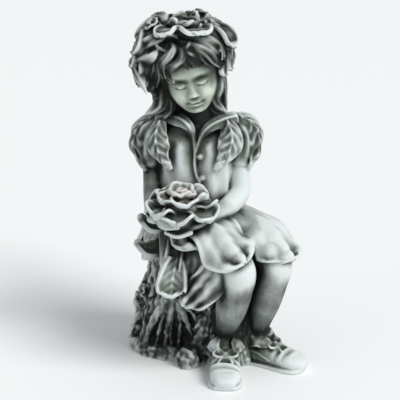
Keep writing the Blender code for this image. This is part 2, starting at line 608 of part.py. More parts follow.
def arms(clay):
    """Bare arms bent forward, and the hands under the rose."""
    right = [
        (-15.6, 0.5, 66.0, 3.2, 3.2),
        (-16.2, 0.2, 60.0, 2.9, 2.9),
        (-16.4, -0.2, 54.0, 2.6, 2.7),
        (-16.4, -1.2, 49.4, 2.6, 2.8),
        (-16.2, -5.5, 46.8, 2.4, 2.4),
        (-15.9, -10.5, 46.2, 2.0, 2.0),
        (-15.4, -13.8, 46.6, 1.7, 1.7),
    ]
    left = [
        (6.6, 0.6, 66.0, 3.2, 3.2),
        (7.6, 0.2, 60.0, 3.0, 3.0),
        (7.8, -0.6, 54.0, 2.8, 2.9),
        (7.5, -2.0, 49.4, 2.9, 3.0),
        (4.6, -6.4, 47.2, 2.7, 2.7),
        (0.8, -11.2, 46.2, 2.3, 2.3),
        (-2.4, -14.6, 45.6, 1.9, 1.9),
    ]
    for stations in (right, left):
        clay.limb(stations, (0.0, -0.6, 1.0), sides=56, rows=90)
    palm = [(-2.2, -14.4, 45.6, 1.9, 1.5), (-4.6, -16.4, 45.0, 2.3, 1.3), (-7.4, -17.8, 44.6, 2.3, 1.2)]
    clay.limb(palm, (0, 0.2, 1))
    for k in range(4):
        drop = 1.25 * k
        spread = [(-5.8, -16.8 - drop, 45.0 - 0.3 * k), (-9.2, -17.8 - 0.8 * drop, 44.6 - 0.5 * k)]
        finger(clay, [*spread, (-12.2, -17.6 - 0.7 * drop, 45.2 - 0.4 * k)])
    finger(clay, [(-2.6, -16.6, 46.0), (-2.7, -19.0, 47.0), (-3.4, -21.0, 47.9)])
    palm = [(-15.4, -13.4, 46.6, 1.9, 1.5), (-15.4, -15.8, 47.0, 2.2, 1.3), (-14.6, -17.8, 47.2, 2.1, 1.1)]
    clay.limb(palm, (-0.5, 0, 1))
    for k in range(4):
        root = (-15.9 + 0.7 * k, -17.0 - 0.5 * k, 47.9 - 0.8 * k)
        knuckle = (-14.2 + 0.7 * k, -19.6 - 0.3 * k, 47.8 - 0.8 * k)
        finger(clay, [root, knuckle, (-11.4 + 0.8 * k, -20.8, 48.0 - 0.8 * k)])
    finger(clay, [(-16.8, -13.6, 47.2), (-17.6, -15.8, 48.4), (-16.9, -17.4, 49.8)])


def held_rose(clay):
    """The open rose that she holds up in both hands."""
    tiers = [
        (3, 8, 0.6, 0.24, -4, 30, 0.04),
        (4, 28, 0.7, 0.36, 24, 80, 0.02),
        (5, 54, 0.88, 0.46, 32, 20, -0.04),
        (6, 78, 1.02, 0.5, 30, 0, -0.08),
    ]
    rose(clay, (-8.4, -16.6, 49.4), (0.02, -0.12, 0.99), 9.0, tiers, 3)
    clay.limb([(-8.4, -16.6, 45.4, 3.4, 3.4), (-8.4, -17.0, 49.6, 4.8, 4.8)], (0, -1, 0))


def skirt(clay):
    """The lap and hips, and the petals that hang from the waist over them."""
    lap = [
        (-9.0, 5.5, 39.0, 8.0, 6.8), (-3.5, -5.5, 38.6, 7.0, 6.0), (2.0, -13.0, 37.0, 5.8, 5.2),
        (6.2, -17.4, 34.6, 4.8, 4.4),
    ]
    clay.limb(lap, (0, 0, 1))
    far_lap = [
        (-1.0, 7.0, 39.0, 8.0, 6.8), (7.0, -1.0, 38.6, 7.0, 6.0), (13.0, -8.0, 37.0, 5.8, 5.2),
        (17.4, -12.2, 35.0, 4.8, 4.6),
    ]
    clay.limb(far_lap, (0, 0, 1))
    between = [(-4.0, 2.0, 34.0, 9.0, 9.0), (2.0, -4.0, 34.0, 9.0, 8.0), (8.0, -9.0, 33.0, 6.0, 4.0)]
    clay.limb(between, (0, 0, 1))
    over_knee = ((0.1, -0.4, 1), (0.2, -0.6, 1), (0.35, -0.85, 0.5))
    hanging = ((0.2, -1, 0.3), (0.1, -1, 0.2), (-0.2, -1, 0.1), (-0.5, -1, -0.2))
    petals = [
        # Spine, facing, half width, shape, cup, ruffle, waves of the rim, roll of the rim.
        (
            [
                (1.0, 4.4, 44.6), (10.5, -1.5, 44.0), (17.4, -9.0, 41.6),
                (20.8, -14.6, 37.2), (20.8, -16.2, 33.8),
            ],
            (0.5, -0.6, 1), 8.4, (0.6, 0.72, 3.4), -0.48, 1.1, 2.2, 0.6,
        ),
        (
            [
                (-4.0, -4.0, 46.4), (-1.0, -11.0, 45.2), (3.4, -17.8, 42.4),
                (7.0, -21.6, 38.6), (9.2, -22.6, 35.2),
            ],
            over_knee, 9.4, (0.75, 0.72, 3.4), -0.38, 1.2, 2.0, 0.7,
        ),
        (
            [(-7.0, -4.0, 45.5), (-6.0, -10.0, 43.8), (-4.6, -15.4, 42.0), (-3.6, -18.8, 39.2)],
            (0, -0.6, 1), 7.0, (0.75, 0.6, 3.0), -0.3, 0.6, 2.0, 0.5,
        ),
        (
            [
                (2.0, -14.0, 41.0), (1.0, -18.8, 36.4), (-1.4, -20.6, 31.5),
                (-4.6, -20.4, 27.0), (-7.2, -18.4, 23.4),
            ],
            hanging, 4.9, (0.7, 0.6, 2.6), -0.28, 1.0, 1.3, 0.5,
        ),
        (
            [(-5.0, -10.0, 42.0), (-5.0, -15.0, 37.0), (-5.8, -17.4, 31.6), (-7.2, -17.6, 26.4)],
            (-0.3, -1, 0.2), 3.4, (0.7, 0.5, 2.4), 0.12, 0.5, 1.4, 0.3,
        ),
        (
            [(-7.6, -9.5, 41.0), (-8.2, -13.8, 35.0), (-8.2, -16.0, 29.5), (-7.8, -16.4, 23.4)],
            (0, -1, 0.2), 5.6, (0.8, 0.5, 2.4), -0.2, 0.8, 1.6, 0.4,
        ),
        (
            [(-11.5, -5.0, 36.0), (-15.6, -5.8, 34.4), (-18.8, -4.6, 34.2), (-21.4, -2.8, 35.6)],
            (0.2, -0.6, 0.8), 3.2, (0.8, 0.4, 1.2), 0.35, 0.4, 1.6, 0.2,
        ),
        (
            [(-12.0, -7.5, 42.8), (-15.2, -7.8, 41.8), (-17.8, -6.2, 42.2), (-20.2, -4.4, 43.8)],
            (0.2, -0.6, 0.8), 3.0, (0.8, 0.4, 1.3), 0.35, 0.4, 1.6, 0.3,
        ),
        (
            [(-13.0, 2.0, 42.5), (-16.0, 1.6, 38.4), (-18.0, 1.2, 33.4), (-18.6, 0.8, 29.4)],
            (-1, -0.4, 0.3), 5.4, (0.7, 0.6, 2.0), -0.3, 0.6, 2.0, 0.4,
        ),
        (
            [(-12.0, 9.0, 43.0), (-15.6, 12.8, 39.0), (-17.6, 15.0, 33.0), (-18.2, 15.8, 27.0)],
            (-0.7, 0.8, 0.3), 6.4, (0.7, 0.6, 2.0), -0.3, 0.7, 2.0, 0.4,
        ),
        (
            [(-4.5, 11.5, 44.0), (-5.0, 16.4, 39.6), (-5.6, 18.6, 33.0), (-6.0, 19.2, 26.0)],
            (0, 1, 0.3), 7.4, (0.7, 0.6, 2.0), -0.25, 0.8, 2.0, 0.4,
        ),
        (
            [(3.0, 10.0, 44.0), (6.8, 13.6, 40.0), (8.6, 15.0, 34.0), (8.8, 15.2, 27.6)],
            (0.7, 0.8, 0.3), 6.4, (0.7, 0.6, 2.0), -0.3, 0.7, 2.0, 0.4,
        ),
        (
            [(6.0, 4.0, 44.0), (11.0, 4.8, 40.6), (12.8, 4.6, 34.6), (12.6, 4.0, 28.6)],
            (1, 0.3, 0.3), 6.4, (0.7, 0.6, 2.0), -0.3, 0.7, 2.0, 0.4,
        ),
        (
            [(9.0, -2.0, 42.0), (13.6, -4.0, 38.0), (15.6, -5.6, 33.0), (15.2, -6.0, 29.0)],
            (1, 0.2, 0.3), 5.4, (0.7, 0.6, 2.0), -0.3, 0.7, 2.0, 0.4,
        ),
    ]
    for k, (spine, facing, width, shape, cup, ruffle, waves, roll) in enumerate(petals):
        clay.sheet(
            spine,
            facing,
            width,
            shape,
            cup,
            ruffle,
            waves,
            roll,
            thick=1.0,
            phase=0.9 * k,
            veins=0.14,
            flutes=0.42,
            lip=0.6,
            rows=80,
            cols=49,
        )
    # The petal whose end turns up into a bowl, and the folds behind it.
    bowl = [
        (-10.0, -11.5, 41.0), (-10.4, -14.8, 35.5), (-10.8, -16.4, 31.5), (-10.9, -17.6, 28.6),
        (-11.0, -19.6, 26.8), (-11.0, -21.6, 27.4),
    ]
    ways = ((0.1, -1, 0.3), (0.1, -1, 0.4), (0.1, -0.4, 1))
    shape = (0.6, 0.5, 2.0)
    clay.sheet(bowl, ways, 4.0, shape, 0.36, 0.12, 1.0, 0.3, thick=1.5, veins=0.2, lip=0.4, rows=80, cols=49)
    folds = [(-7.6, -8.0, 39.0, 7.0, 5.0), (-8.6, -12.0, 31.0, 5.6, 4.4), (-8.8, -13.0, 26.0, 4.2, 3.2)]
    clay.limb(folds, (0, -1, 0.3))


def legs(clay):
    """Bare legs, drawn back towards the stump."""
    right = [
        (-3.0, -6.0, 38.0, 5.6, 5.2),
        (3.6, -15.0, 35.6, 5.0, 4.8),
        (6.8, -18.2, 32.4, 4.9, 4.8),
        (6.4, -16.6, 27.0, 4.7, 4.7),
        (5.4, -13.4, 20.6, 4.3, 4.5),
        (4.4, -9.4, 14.0, 3.2, 3.5),
        (3.9, -6.8, 9.4, 2.6, 2.8),
        (3.9, -5.8, 5.0, 2.6, 2.8),
    ]
    left = [
        (7.0, -1.0, 38.0, 5.6, 5.2),
        (13.8, -10.4, 36.0, 5.0, 4.8),
        (17.0, -13.4, 33.0, 4.7, 4.7),
        (16.2, -12.4, 27.0, 4.3, 4.5),
        (14.9, -9.6, 20.4, 4.0, 4.3),
        (13.6, -6.2, 13.6, 3.1, 3.4),
        (13.4, -4.4, 9.4, 2.6, 2.8),
        (13.2, -4.0, 5.0, 2.6, 2.8),
    ]
    for stations in (right, left):
        clay.limb(stations, (0.5, -1.0, 0.3), sides=64, rows=100)


def shoe(clay, heel, heading, ankle, length=20.0):
    """A low laced shoe from its heel along a heading in degrees from +X, with a collar round the ankle."""
    turn = math.radians(heading)
    ahead = np.array([math.cos(turn), math.sin(turn), 0.0]) * length / 20
    aside = np.array([-math.sin(turn), math.cos(turn), 0.0])
    heel = np.array([*heel, 0.0])
    ankle = np.array(ankle)

    def at(f, s, z):
        """A point f ahead of the heel, s aside and z up."""
        return heel + ahead * f + aside * s + np.array([0, 0, z])

    def creases(share, angle):
        """Wrinkles across the vamp, where the shoe bends, and softer ones at the heel."""
        top = np.clip(np.sin(angle), 0, 1) ** 0.6
        bend = np.exp(-(((share - 0.63) / 0.13) ** 2)) * np.sin(58 * share + 1.3 * np.cos(angle))
        back = np.exp(-(((share - 0.2) / 0.12) ** 2)) * np.sin(46 * share + 2.0 * np.cos(2 * angle))
        cap = np.exp(-(((share - 0.8) / 0.025) ** 2)) * top
        return 0.42 * bend * top + 0.24 * back + 0.3 * cap

    upper = [
        (0.6, 3.4, 2.6, 3.4),
        (3.0, 4.2, 3.3, 4.4),
        (6.0, 4.3, 3.5, 4.5),
        (9.0, 3.7, 3.7, 3.7),
        (12.0, 3.0, 4.0, 2.9),
        (15.2, 2.5, 4.3, 2.5),
        (18.2, 2.1, 4.0, 2.2),
        (20.0, 1.8, 3.0, 1.8),
    ]
    stations = [(*at(f, 0, z), w, h) for f, z, w, h in upper]
    clay.limb(stations, (0, 0, 1), sides=60, rows=90, carve=creases, square=2.3, blunt=0.7)
    sole = [(0.0, 2.7), (5.0, 3.6), (10.0, 4.0), (15.4, 4.8), (18.6, 4.4), (20.2, 3.3)]
    stations = [(*at(f, 0, 0), w, 1.25) for f, w in sole]
    clay.limb(stations, (0, 0, 1), sides=60, rows=60, square=5, blunt=0.5)
    seams = Lines()
    arch = np.radians(np.linspace(-84, 84, 9))
    for back, wide, high in ((14.0, 4.2, 2.6), (15.2, 4.25, 2.55)):
        seam = [at(back - 1.2 * math.cos(a), wide * math.sin(a), 2.4 + high * math.cos(a)) for a in arch]
        seams.add(seam, 0.32)
    for s in (-1, 1):
        quarter = [(0.0, 2.4, 2.2), (3.0, 3.5, 4.6), (7.0, 3.7, 4.2), (11.0, 3.9, 2.6)]
        facing_edge = [(7.2, 3.1, 6.6), (9.4, 2.7, 6.2), (11.6, 2.3, 5.4), (13.2, 1.9, 4.9)]
        seams.add([at(f, s * aside_by, z) for f, aside_by, z in quarter], 0.32)
        seams.add([at(f, s * aside_by, z) for f, aside_by, z in facing_edge], 0.34)
    for k in range(4):
        f, z = 7.6 + 1.5 * k, 8.2 - 0.85 * k
        for cross in (-1, 1):
            lace = [at(f - 0.7 * cross, -2.1, z - 0.6), at(f, 0, z + 0.35), at(f + 0.7 * cross, 2.1, z - 0.6)]
            seams.add(lace, 0.38, (0, 0, 1))
    for s in (-1, 1):
        bow = [(11.0, 0, 6.5), (9.9, 2.0, 7.5), (11.1, 3.3, 6.5), (12.1, 1.6, 6.1), (11.1, 0, 6.4)]
        seams.add([at(f, s * aside_by, z) for f, aside_by, z in bow], 0.44, (0, 0, 1))
        seams.add([at(11.0, 0, 6.5), at(12.6, s * 1.1, 5.9), at(14.2, s * 2.0, 5.2)], 0.4, (0, 0, 1))
    seams.sweep(clay, rows=26, sides=12, depth_share=1.0, strand_depth=0.0)
    clay.ball(at(11.0, 0, 6.6), (0.75, 0.75, 0.6))
    collar = []
    for a in np.radians(np.linspace(0, 360, 13)):
        place = ankle + 3.4 * (unit(ahead) * math.cos(a) + aside * math.sin(a))
        collar.append((*(place + (0, 0, 0.7 * math.cos(a) ** 2 + 0.3)), 0.85, 1.1))

    def gathered(share, angle):
        """Small gathers round the collar."""
        return 0.16 * np.sin(60 * share + angle)

    clay.limb(collar, (0, 0, 1), sides=18, rows=80, carve=gathered)
    for s in (-1, 1):
        flap = [at(4.0, s * 3.0, 7.0), at(6.2, s * 3.7, 8.5), at(8.6, s * 3.3, 8.0), at(10.6, s * 2.2, 6.3)]
        facing = s * aside * 0.8 + np.array([0, 0, 0.8])
        clay.sheet(flap, facing, 2.3, shape=(0.7, 0.4, 1.6), cup=-0.3, ruffle=0.3, thick=0.9, lip=0.5)
    tongue = [at(5.4, 0, 8.2), at(8.2, 0, 8.0), at(10.4, 0, 6.3), at(12.4, 0, 5.3)]
    clay.sheet(tongue, (0, 0, 1), 1.7, shape=(0.9, 0.4, 3), cup=-0.2, ruffle=0.1, thick=0.9)


def trunk(clay, profile, rows, sides):
    """An upright trunk that opens into the swell of its roots near the ground."""
    x, y, z, wide, deep = spline(profile, rows).T[:, :, None]
    angle = np.linspace(0, 2 * math.pi, sides, endpoint=False)[None, :]
    c, s = np.cos(angle), np.sin(angle)
    skin = np.stack([x + wide * c, y + deep * s, z + 0 * angle], axis=2)
    low = 1 - step(z, 2.0, 22.0)
    swells = 1 - np.abs(grain(skin, 5, (0.42, 0.42, 0.06)))
    hollows = grain(skin, 8, (0.3, 0.3, 0.2))
    plates = 1 - np.abs(grain(skin, 4, (0.95, 0.95, 0.13)))
    chips = grain(skin, 6, (2.2, 2.2, 0.9))
    relief = (0.7 + 1.2 * low) * swells**2 + 0.6 * hollows + 1.3 * plates**2 + 0.3 * chips - 1.2
    out = np.stack([c + 0 * z, s + 0 * z, 0 * z + 0 * angle], axis=2)
    clay.tube(skin + out * relief[..., None])


def rock(clay, at, radii, seed, facets=0.1):
    """A rough lump of stone."""
    around = np.linspace(0, 2 * math.pi, 72, endpoint=False)
    tall, around = np.meshgrid(np.radians(np.linspace(-88, 88, 52)), around, indexing="ij")
    ball = np.stack([np.cos(tall) * np.cos(around), np.cos(tall) * np.sin(around), np.sin(tall)], axis=2)
    rough = 1 + 0.1 * grain(ball, seed, (2.0, 2.0, 2.0))
    rough = rough - facets * np.abs(grain(ball, 9 + seed, (3.4, 3.4, 3.4)))
    rough = rough + 0.035 * grain(ball, 21 + seed, (9.0, 9.0, 9.0))
    clay.tube(np.array(at) + ball * np.array(radii) * rough[..., None])


def stump(clay):
    """The tree stump, its bark and roots, and the ground that it stands in."""
    profile = [
        (-9.2, 11.4, -3.0, 13.8, 10.4),
        (-9.2, 11.2, 1.0, 14.0, 10.6),
        (-9.2, 10.6, 4.0, 13.4, 10.2),
        (-9.1, 9.6, 8.0, 12.4, 9.9),
        (-9.0, 8.8, 13.0, 11.4, 9.8),
        (-8.8, 8.0, 20.0, 10.4, 9.8),
        (-8.6, 7.4, 28.0, 9.8, 9.9),
        (-8.4, 7.0, 37.0, 10.0, 10.0),
    ]
    trunk(clay, profile, 150, 300)
    # The side of the stump that fills the space behind the calves.
    flank = [
        (3.6, -2.6, -3.0, 11.0, 5.8),
        (3.8, -2.8, 3.0, 10.6, 5.6),
        (5.0, -3.2, 10.0, 9.2, 5.2),
        (6.4, -4.2, 18.0, 8.8, 5.0),
        (7.6, -5.2, 26.0, 8.6, 5.4),
        (8.0, -6.0, 33.0, 8.8, 6.0),
    ]
    trunk(clay, flank, 110, 190)
    # What joins the two into one stump.
    core = [
        (-0.6, 4.4, -3.0, 10.6, 7.6), (-0.4, 4.2, 8.0, 9.8, 7.2), (0.2, 3.4, 20.0, 9.4, 7.0),
        (0.4, 2.6, 34.0, 9.2, 6.6),
    ]
    trunk(clay, core, 110, 170)
    middle = np.array([-9.2, 10.4, 0.0])
    roots = Lines()
    # Roots that stand clear of the bark: where they run out, how far, how thick, how they wander.
    for turn, length, size, wander in [
        (196, 14.0, 2.3, 0.8),
        (219, 14.4, 1.7, -1.2),
        (238, 13.8, 1.9, 1.4),
        (259, 13.4, 1.5, -1.6),
        (283, 13.2, 1.8, 1.2),
        (158, 13.6, 2.5, 0.9),
        (128, 13.6, 2.2, -0.9),
        (104, 13.6, 2.4, -0.8),
        (76, 13.6, 2.1, 0.8),
        (52, 13.8, 2.4, 0.7),
        (18, 14.2, 2.4, 0.8),
    ]:
        t = math.radians(turn)
        out = np.array([math.cos(t), math.sin(t) * 0.76, 0])
        aside = np.array([-math.sin(t), math.cos(t), 0])
        root = [
            middle + out * (length * 0.62) + aside * 1.4 * wander + (0, 0, 25),
            middle + out * (length * 0.72) - aside * wander + (0, 0, 17),
            middle + out * (length * 0.82) + aside * wander + (0, 0, 9.6),
            middle + out * (length * 0.94) - aside * wander + (0, 0, 4.0),
            middle + out * (length * 1.02) + (0, 0, -0.4),
        ]
        roots.add(root, np.array([0.35, 0.65, 0.85, 1.0, 1.0]) * size, (math.cos(t), math.sin(t), 0.5))
    roots.sweep(clay, rows=50, sides=36, depth_share=0.9, strands=1.5, strand_depth=0.2, twist=9.0)
    rng = random.Random(12)
    # Knots on the bark.
    for k in range(18):
        turn, high = math.radians(rng.uniform(110, 300)), rng.uniform(2.5, 26.0)
        reach = 0.97 - 0.22 * high / 26
        at = middle + (13.6 * reach * math.cos(turn), 10.4 * reach * math.sin(turn) - 0.1 * high, high)
        size = rng.uniform(1.4, 2.3)
        rock(clay, at, (size, size, size * rng.uniform(1.0, 1.6)), 30 + k)
    # Bare roots that run down the front of the stump from under the skirt.
    bare_roots = Lines()
    for size, path in [
        (1.5, [(-12.4, 0.0, 21), (-13.4, -0.8, 17), (-15.4, -1.0, 13), (-17.2, 0.0, 9.6), (-18.2, 0.6, 6.4)]),
        (0.8, [(-12.2, -0.4, 19), (-12.9, -1.2, 15.6), (-14.2, -1.4, 11.6), (-15.8, -1.0, 5.6)]),
        (1.2, [(-11.6, -0.4, 20), (-11.4, -1.2, 16.6), (-12, -1.5, 12.4), (-12.6, -1.6, 8.6), (-13, -1.4, 5)]),
        (0.9, [(-11.0, -0.6, 19), (-10.0, -1.3, 15.4), (-8.9, -1.7, 12.0), (-9.0, -1.8, 5.4)]),
        (1.1, [(-10.6, -0.6, 18), (-8.8, -1.6, 14.6), (-7, -2.1, 11.8), (-5.8, -2.5, 9.4), (-4.6, -2.9, 6.4)]),
        (0.7, [(-9.6, -1.2, 17.6), (-7.4, -2.0, 15.4), (-5.2, -2.6, 14.0), (-2.2, -3.4, 9.0)]),
    ]:
        bare_roots.add(path, np.linspace(1.1, 0.6, len(path)) * size, (0, -1, 0.2))
    bare_roots.sweep(clay, rows=40, sides=24, depth_share=1.0, strands=1.0, strand_depth=0.12, twist=7.0)
    # The loose rock, the stones at the foot of the stump, and the earth under the heels: place and radii.
    for k, (at, radii) in enumerate(
        [
            ((-19.8, 8.6, 1.6), (3.6, 4.4, 3.4)),
            ((-16.2, 3.8, 2.0), (6.0, 4.0, 5.6)),
            ((-10.6, 2.4, 2.0), (5.6, 3.8, 5.0)),
            ((-4.6, -1.2, 2.0), (4.4, 3.2, 5.0)),
            ((-6.8, -7.2, 1.6), (3.8, 3.7, 3.7)),
            ((1.0, -1.0, 1.0), (8.6, 6.4, 4.6)),
            ((8.0, -1.0, 0.6), (7.0, 5.0, 3.2)),
        ]
    ):
        rock(clay, at, radii, 3 + k, 0.11)


def build_clay():
    """Every form of the statue."""
    clay = Clay()
    for form in (head, hair, wreath, blouse, sleeves, arms, held_rose, skirt, legs, stump):
        form(clay)
    shoe(clay, (4.2, -3.2), -92.0, (3.9, -6.1, 8.2))
    shoe(clay, (8.8, -2.0), -27.0, (13.2, -4.2, 8.2), 18.6)
    return clay


def applied(obj, kind, **settings):
    """Gives the object a modifier and applies it."""
    modifier = obj.modifiers.new(kind.title(), kind)
    for name, value in settings.items():
        setattr(modifier, name, value)
    bpy.context.view_layer.objects.active = obj
    bpy.ops.object.modifier_apply(modifier=modifier.name)


def keep_largest(obj):
    """Deletes the skins of hollows that the forms closed off inside."""
    bpy.ops.object.select_all(action="DESELECT")
    obj.select_set(True)
    bpy.context.view_layer.objects.active = obj
    bpy.ops.object.mode_set(mode="EDIT")
    bpy.ops.mesh.select_all(action="SELECT")
    bpy.ops.mesh.separate(type="LOOSE")
    bpy.ops.object.mode_set(mode="OBJECT")
    shells = sorted(bpy.context.selected_objects, key=lambda o: len(o.data.vertices))
    for shell in shells[:-1]:
        bpy.data.objects.remove(shell)
    return shells[-1]


def part_folds(obj):
    """Closes to a point each edge along which two folds of the skin have come to touch."""
    form = bmesh.new()
    form.from_mesh(obj.data)
    for _ in range(12):
        met, touching = set(), None
        for edge in form.edges:
            ends = frozenset(edge.verts)
            if ends in met or len(edge.link_faces) > 2:
                touching = list(ends)
                break
            met.add(ends)
        if touching is None:
            break
        bmesh.ops.pointmerge(form, verts=touching, merge_co=(touching[0].co + touching[1].co) / 2)
    form.to_mesh(obj.data)
    form.free()


def cast(name, clay, cell, triangles):
    """One closed skin over all the forms."""
    mesh = bpy.data.meshes.new(name)
    scale = STATUE_HEIGHT / 100
    points = (np.array(clay.points) - np.array([*MIDDLE, 0.0])) * scale
    mesh.from_pydata(points.tolist(), [], clay.faces)
    obj = bpy.data.objects.new(name, mesh)
    bpy.context.scene.collection.objects.link(obj)
    applied(obj, "REMESH", mode="VOXEL", voxel_size=cell, adaptivity=0.0)
    obj = keep_largest(obj)
    applied(obj, "SMOOTH", factor=0.5, iterations=SMOOTHING_PASSES)
    applied(obj, "DECIMATE", ratio=triangles / (2 * len(obj.data.polygons)), use_collapse_triangulate=True)
    part_folds(obj)
    return obj


def stone():
    """Cast stone."""
    material = bpy.data.materials.new("cast_stone")
    material.use_nodes = True
    shader = material.node_tree.nodes["Principled BSDF"]
    shader.inputs["Base Color"].default_value = STONE_GREY
    shader.inputs["Roughness"].default_value = STONE_ROUGHNESS
    return material


def ground_cutter():
    """A block whose top is the ground."""
    side = 2 * STATUE_HEIGHT
    deep = 0.2 * STATUE_HEIGHT
    bpy.ops.mesh.primitive_cube_add(size=1, location=(0, 0, -deep / 2))
    cutter = bpy.context.active_object
    cutter.name = "ground_cutter"
    cutter.scale = (side, side, deep)
    bpy.ops.object.transform_apply(location=True, rotation=False, scale=True)
    cutter.hide_render = True
    cutter.display_type = "WIRE"
    return cutter


def main(cell=CELL, triangles=MOST_TRIANGLES):
    """Clears the scene and makes the statue."""
    for obj in list(bpy.data.objects):
        bpy.data.objects.remove(obj)
    statue = cast("flower_girl_statue", build_clay(), cell, triangles)
    statue.data.materials.append(stone())
    cut = statue.modifiers.new("Flat underside", "BOOLEAN")
    cut.operation = "DIFFERENCE"
    cut.object = ground_cutter()
    return statue


if __name__ == "__main__":
    main()
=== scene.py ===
"""Garden statue in cast stone: a girl under a wreath, seated on a tree stump with a rose in her hands.

Each group of forms is modelled as closed skins in hundredths of the statue's height, with +Z up and the
torso facing -Y. The forms are then fused into one casting at its real size, weathered and given its
antique finish, with painted shade and painted light in its colour.
"""

import json
import math
import random

import bmesh
import bpy
import numpy as np
from bpy.props import FloatProperty, FloatVectorProperty, IntProperty, PointerProperty
from bpy.types import Operator, Panel, PropertyGroup
from mathutils import Matrix, Vector
from mathutils.bvhtree import BVHTree

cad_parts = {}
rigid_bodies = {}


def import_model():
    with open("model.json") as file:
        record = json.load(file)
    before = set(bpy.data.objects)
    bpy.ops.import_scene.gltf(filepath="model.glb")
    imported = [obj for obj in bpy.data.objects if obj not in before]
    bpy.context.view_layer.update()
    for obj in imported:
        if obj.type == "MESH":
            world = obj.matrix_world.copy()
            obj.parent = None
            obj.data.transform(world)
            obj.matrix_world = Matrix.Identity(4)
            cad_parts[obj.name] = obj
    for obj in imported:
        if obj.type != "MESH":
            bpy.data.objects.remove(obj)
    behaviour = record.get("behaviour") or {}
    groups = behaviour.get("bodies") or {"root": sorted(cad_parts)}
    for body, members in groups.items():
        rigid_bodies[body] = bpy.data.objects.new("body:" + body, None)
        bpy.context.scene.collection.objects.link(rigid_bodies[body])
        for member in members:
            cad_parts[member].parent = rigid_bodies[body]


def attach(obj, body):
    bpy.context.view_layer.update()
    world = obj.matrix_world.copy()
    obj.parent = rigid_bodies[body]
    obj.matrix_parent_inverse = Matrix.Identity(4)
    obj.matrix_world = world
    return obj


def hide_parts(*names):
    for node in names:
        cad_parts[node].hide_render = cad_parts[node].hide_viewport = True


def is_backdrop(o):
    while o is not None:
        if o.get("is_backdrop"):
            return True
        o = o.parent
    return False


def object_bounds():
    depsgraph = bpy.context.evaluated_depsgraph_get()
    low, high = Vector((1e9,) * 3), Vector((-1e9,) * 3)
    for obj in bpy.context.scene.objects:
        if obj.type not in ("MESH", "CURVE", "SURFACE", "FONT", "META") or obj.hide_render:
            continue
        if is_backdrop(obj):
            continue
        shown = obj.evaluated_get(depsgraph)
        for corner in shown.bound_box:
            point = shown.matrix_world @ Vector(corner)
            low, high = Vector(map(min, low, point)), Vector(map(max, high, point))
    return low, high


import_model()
CAD_LOW, CAD_HIGH = (tuple(corner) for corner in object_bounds())

bl_info = {
    "name": "Garden statue of a girl with a rose",
    "version": (1, 0, 0),
    "blender": (4, 5, 0),
    "location": "3D View > Sidebar > Statue",
    "description": "Models a cast stone garden statue, form by form, and fuses it into one casting",
    "category": "Object",
}

CAD_NODE = "flower_girl_statue"
PIECE = "flower_girl_casting"

# Where the middle of the finished outline lies in the modelling frame, in hundredths of the height.
MIDDLE = (1.13, -1.32)

# The middle of the head.
HEAD_AT = (-6.2, -3.0, 84.3)

# The blouse, from hip to neck: x, y, z, half width, half depth.
TORSO = [
    (-5.0, 5.5, 35.0, 10.0, 8.6),
    (-5.0, 4.8, 41.0, 10.0, 8.4),
    (-4.6, 3.0, 46.5, 9.6, 7.2),
    (-4.5, 1.4, 52.0, 10.0, 7.5),
    (-4.5, 0.6, 58.0, 10.4, 7.8),
    (-4.5, 0.4, 63.0, 10.8, 7.2),
    (-4.4, 0.4, 66.4, 9.0, 5.8),
    (-4.2, 0.2, 69.0, 4.6, 4.2),
]
TORSO_SQUARENESS = 2.3


class StatueSizes(PropertyGroup):
    """The casting's size and how finely it is modelled."""

    height: FloatProperty(
        name="Height",
        description="From the ground to the top of the wreath",
        default=CAD_HIGH[2] - CAD_LOW[2],
        min=0.1,
        unit="LENGTH",
        subtype="DISTANCE",
    )
    detail: FloatProperty(
        name="Finest detail",
        description="The smallest form that the casting keeps, as a share of its height",
        default=0.002,
        min=0.0015,
        max=0.02,
    )
    triangles: IntProperty(
        name="Triangles",
        description="The most triangles in the casting",
        default=188000,
        min=5000,
        max=199000,
    )
    head_lean: FloatProperty(
        name="Head lean",
        description="How far the head leans towards her right shoulder",
        default=math.radians(13),
        subtype="ANGLE",
    )
    head_nod: FloatProperty(
        name="Head nod",
        description="How far the head bows",
        default=math.radians(16),
        subtype="ANGLE",
    )


class StatueFinish(PropertyGroup):
    """The antique finish: dark wash in hollows, pale rubbed stone where forms stand out, painted shade
    and light.
    """

    wash_and_painted_shade: FloatVectorProperty(
        name="Dark wash",
        description="Colour left in the deepest hollows",
        default=(0.0075, 0.0095, 0.0075),
        subtype="COLOR",
        min=0,
        max=1,
    )
    body: FloatVectorProperty(
        name="Stone",
        description="Colour of the plain stone",
        default=(0.135, 0.152, 0.135),
        subtype="COLOR",
        min=0,
        max=1,
    )
    rubbed_and_painted_light: FloatVectorProperty(
        name="Rubbed stone",
        description="Colour where the wash is rubbed off",
        default=(0.60, 0.645, 0.635),
        subtype="COLOR",
        min=0,
        max=1,
    )
    blush: FloatVectorProperty(
        name="Rose blush",
        description="Faint tint at the heart of the rose in her hands",
        default=(0.62, 0.40, 0.35),
        subtype="COLOR",
        min=0,
        max=1,
    )
    moss: FloatVectorProperty(
        name="Moss tint",
        description="Tint of patches in the hollows",
        default=(0.20, 0.24, 0.165),
        subtype="COLOR",
        min=0,
        max=1,
    )
    grain_depth: FloatProperty(
        name="Grain depth",
        description="How far the stone's grain stands out",
        default=0.00035,
        min=0,
        unit="LENGTH",
        subtype="DISTANCE",
    )
    pit_depth: FloatProperty(
        name="Pit depth",
        description="Depth of the small pits that air bubbles leave in a casting",
        default=0.0006,
        min=0,
        unit="LENGTH",
        subtype="DISTANCE",
    )


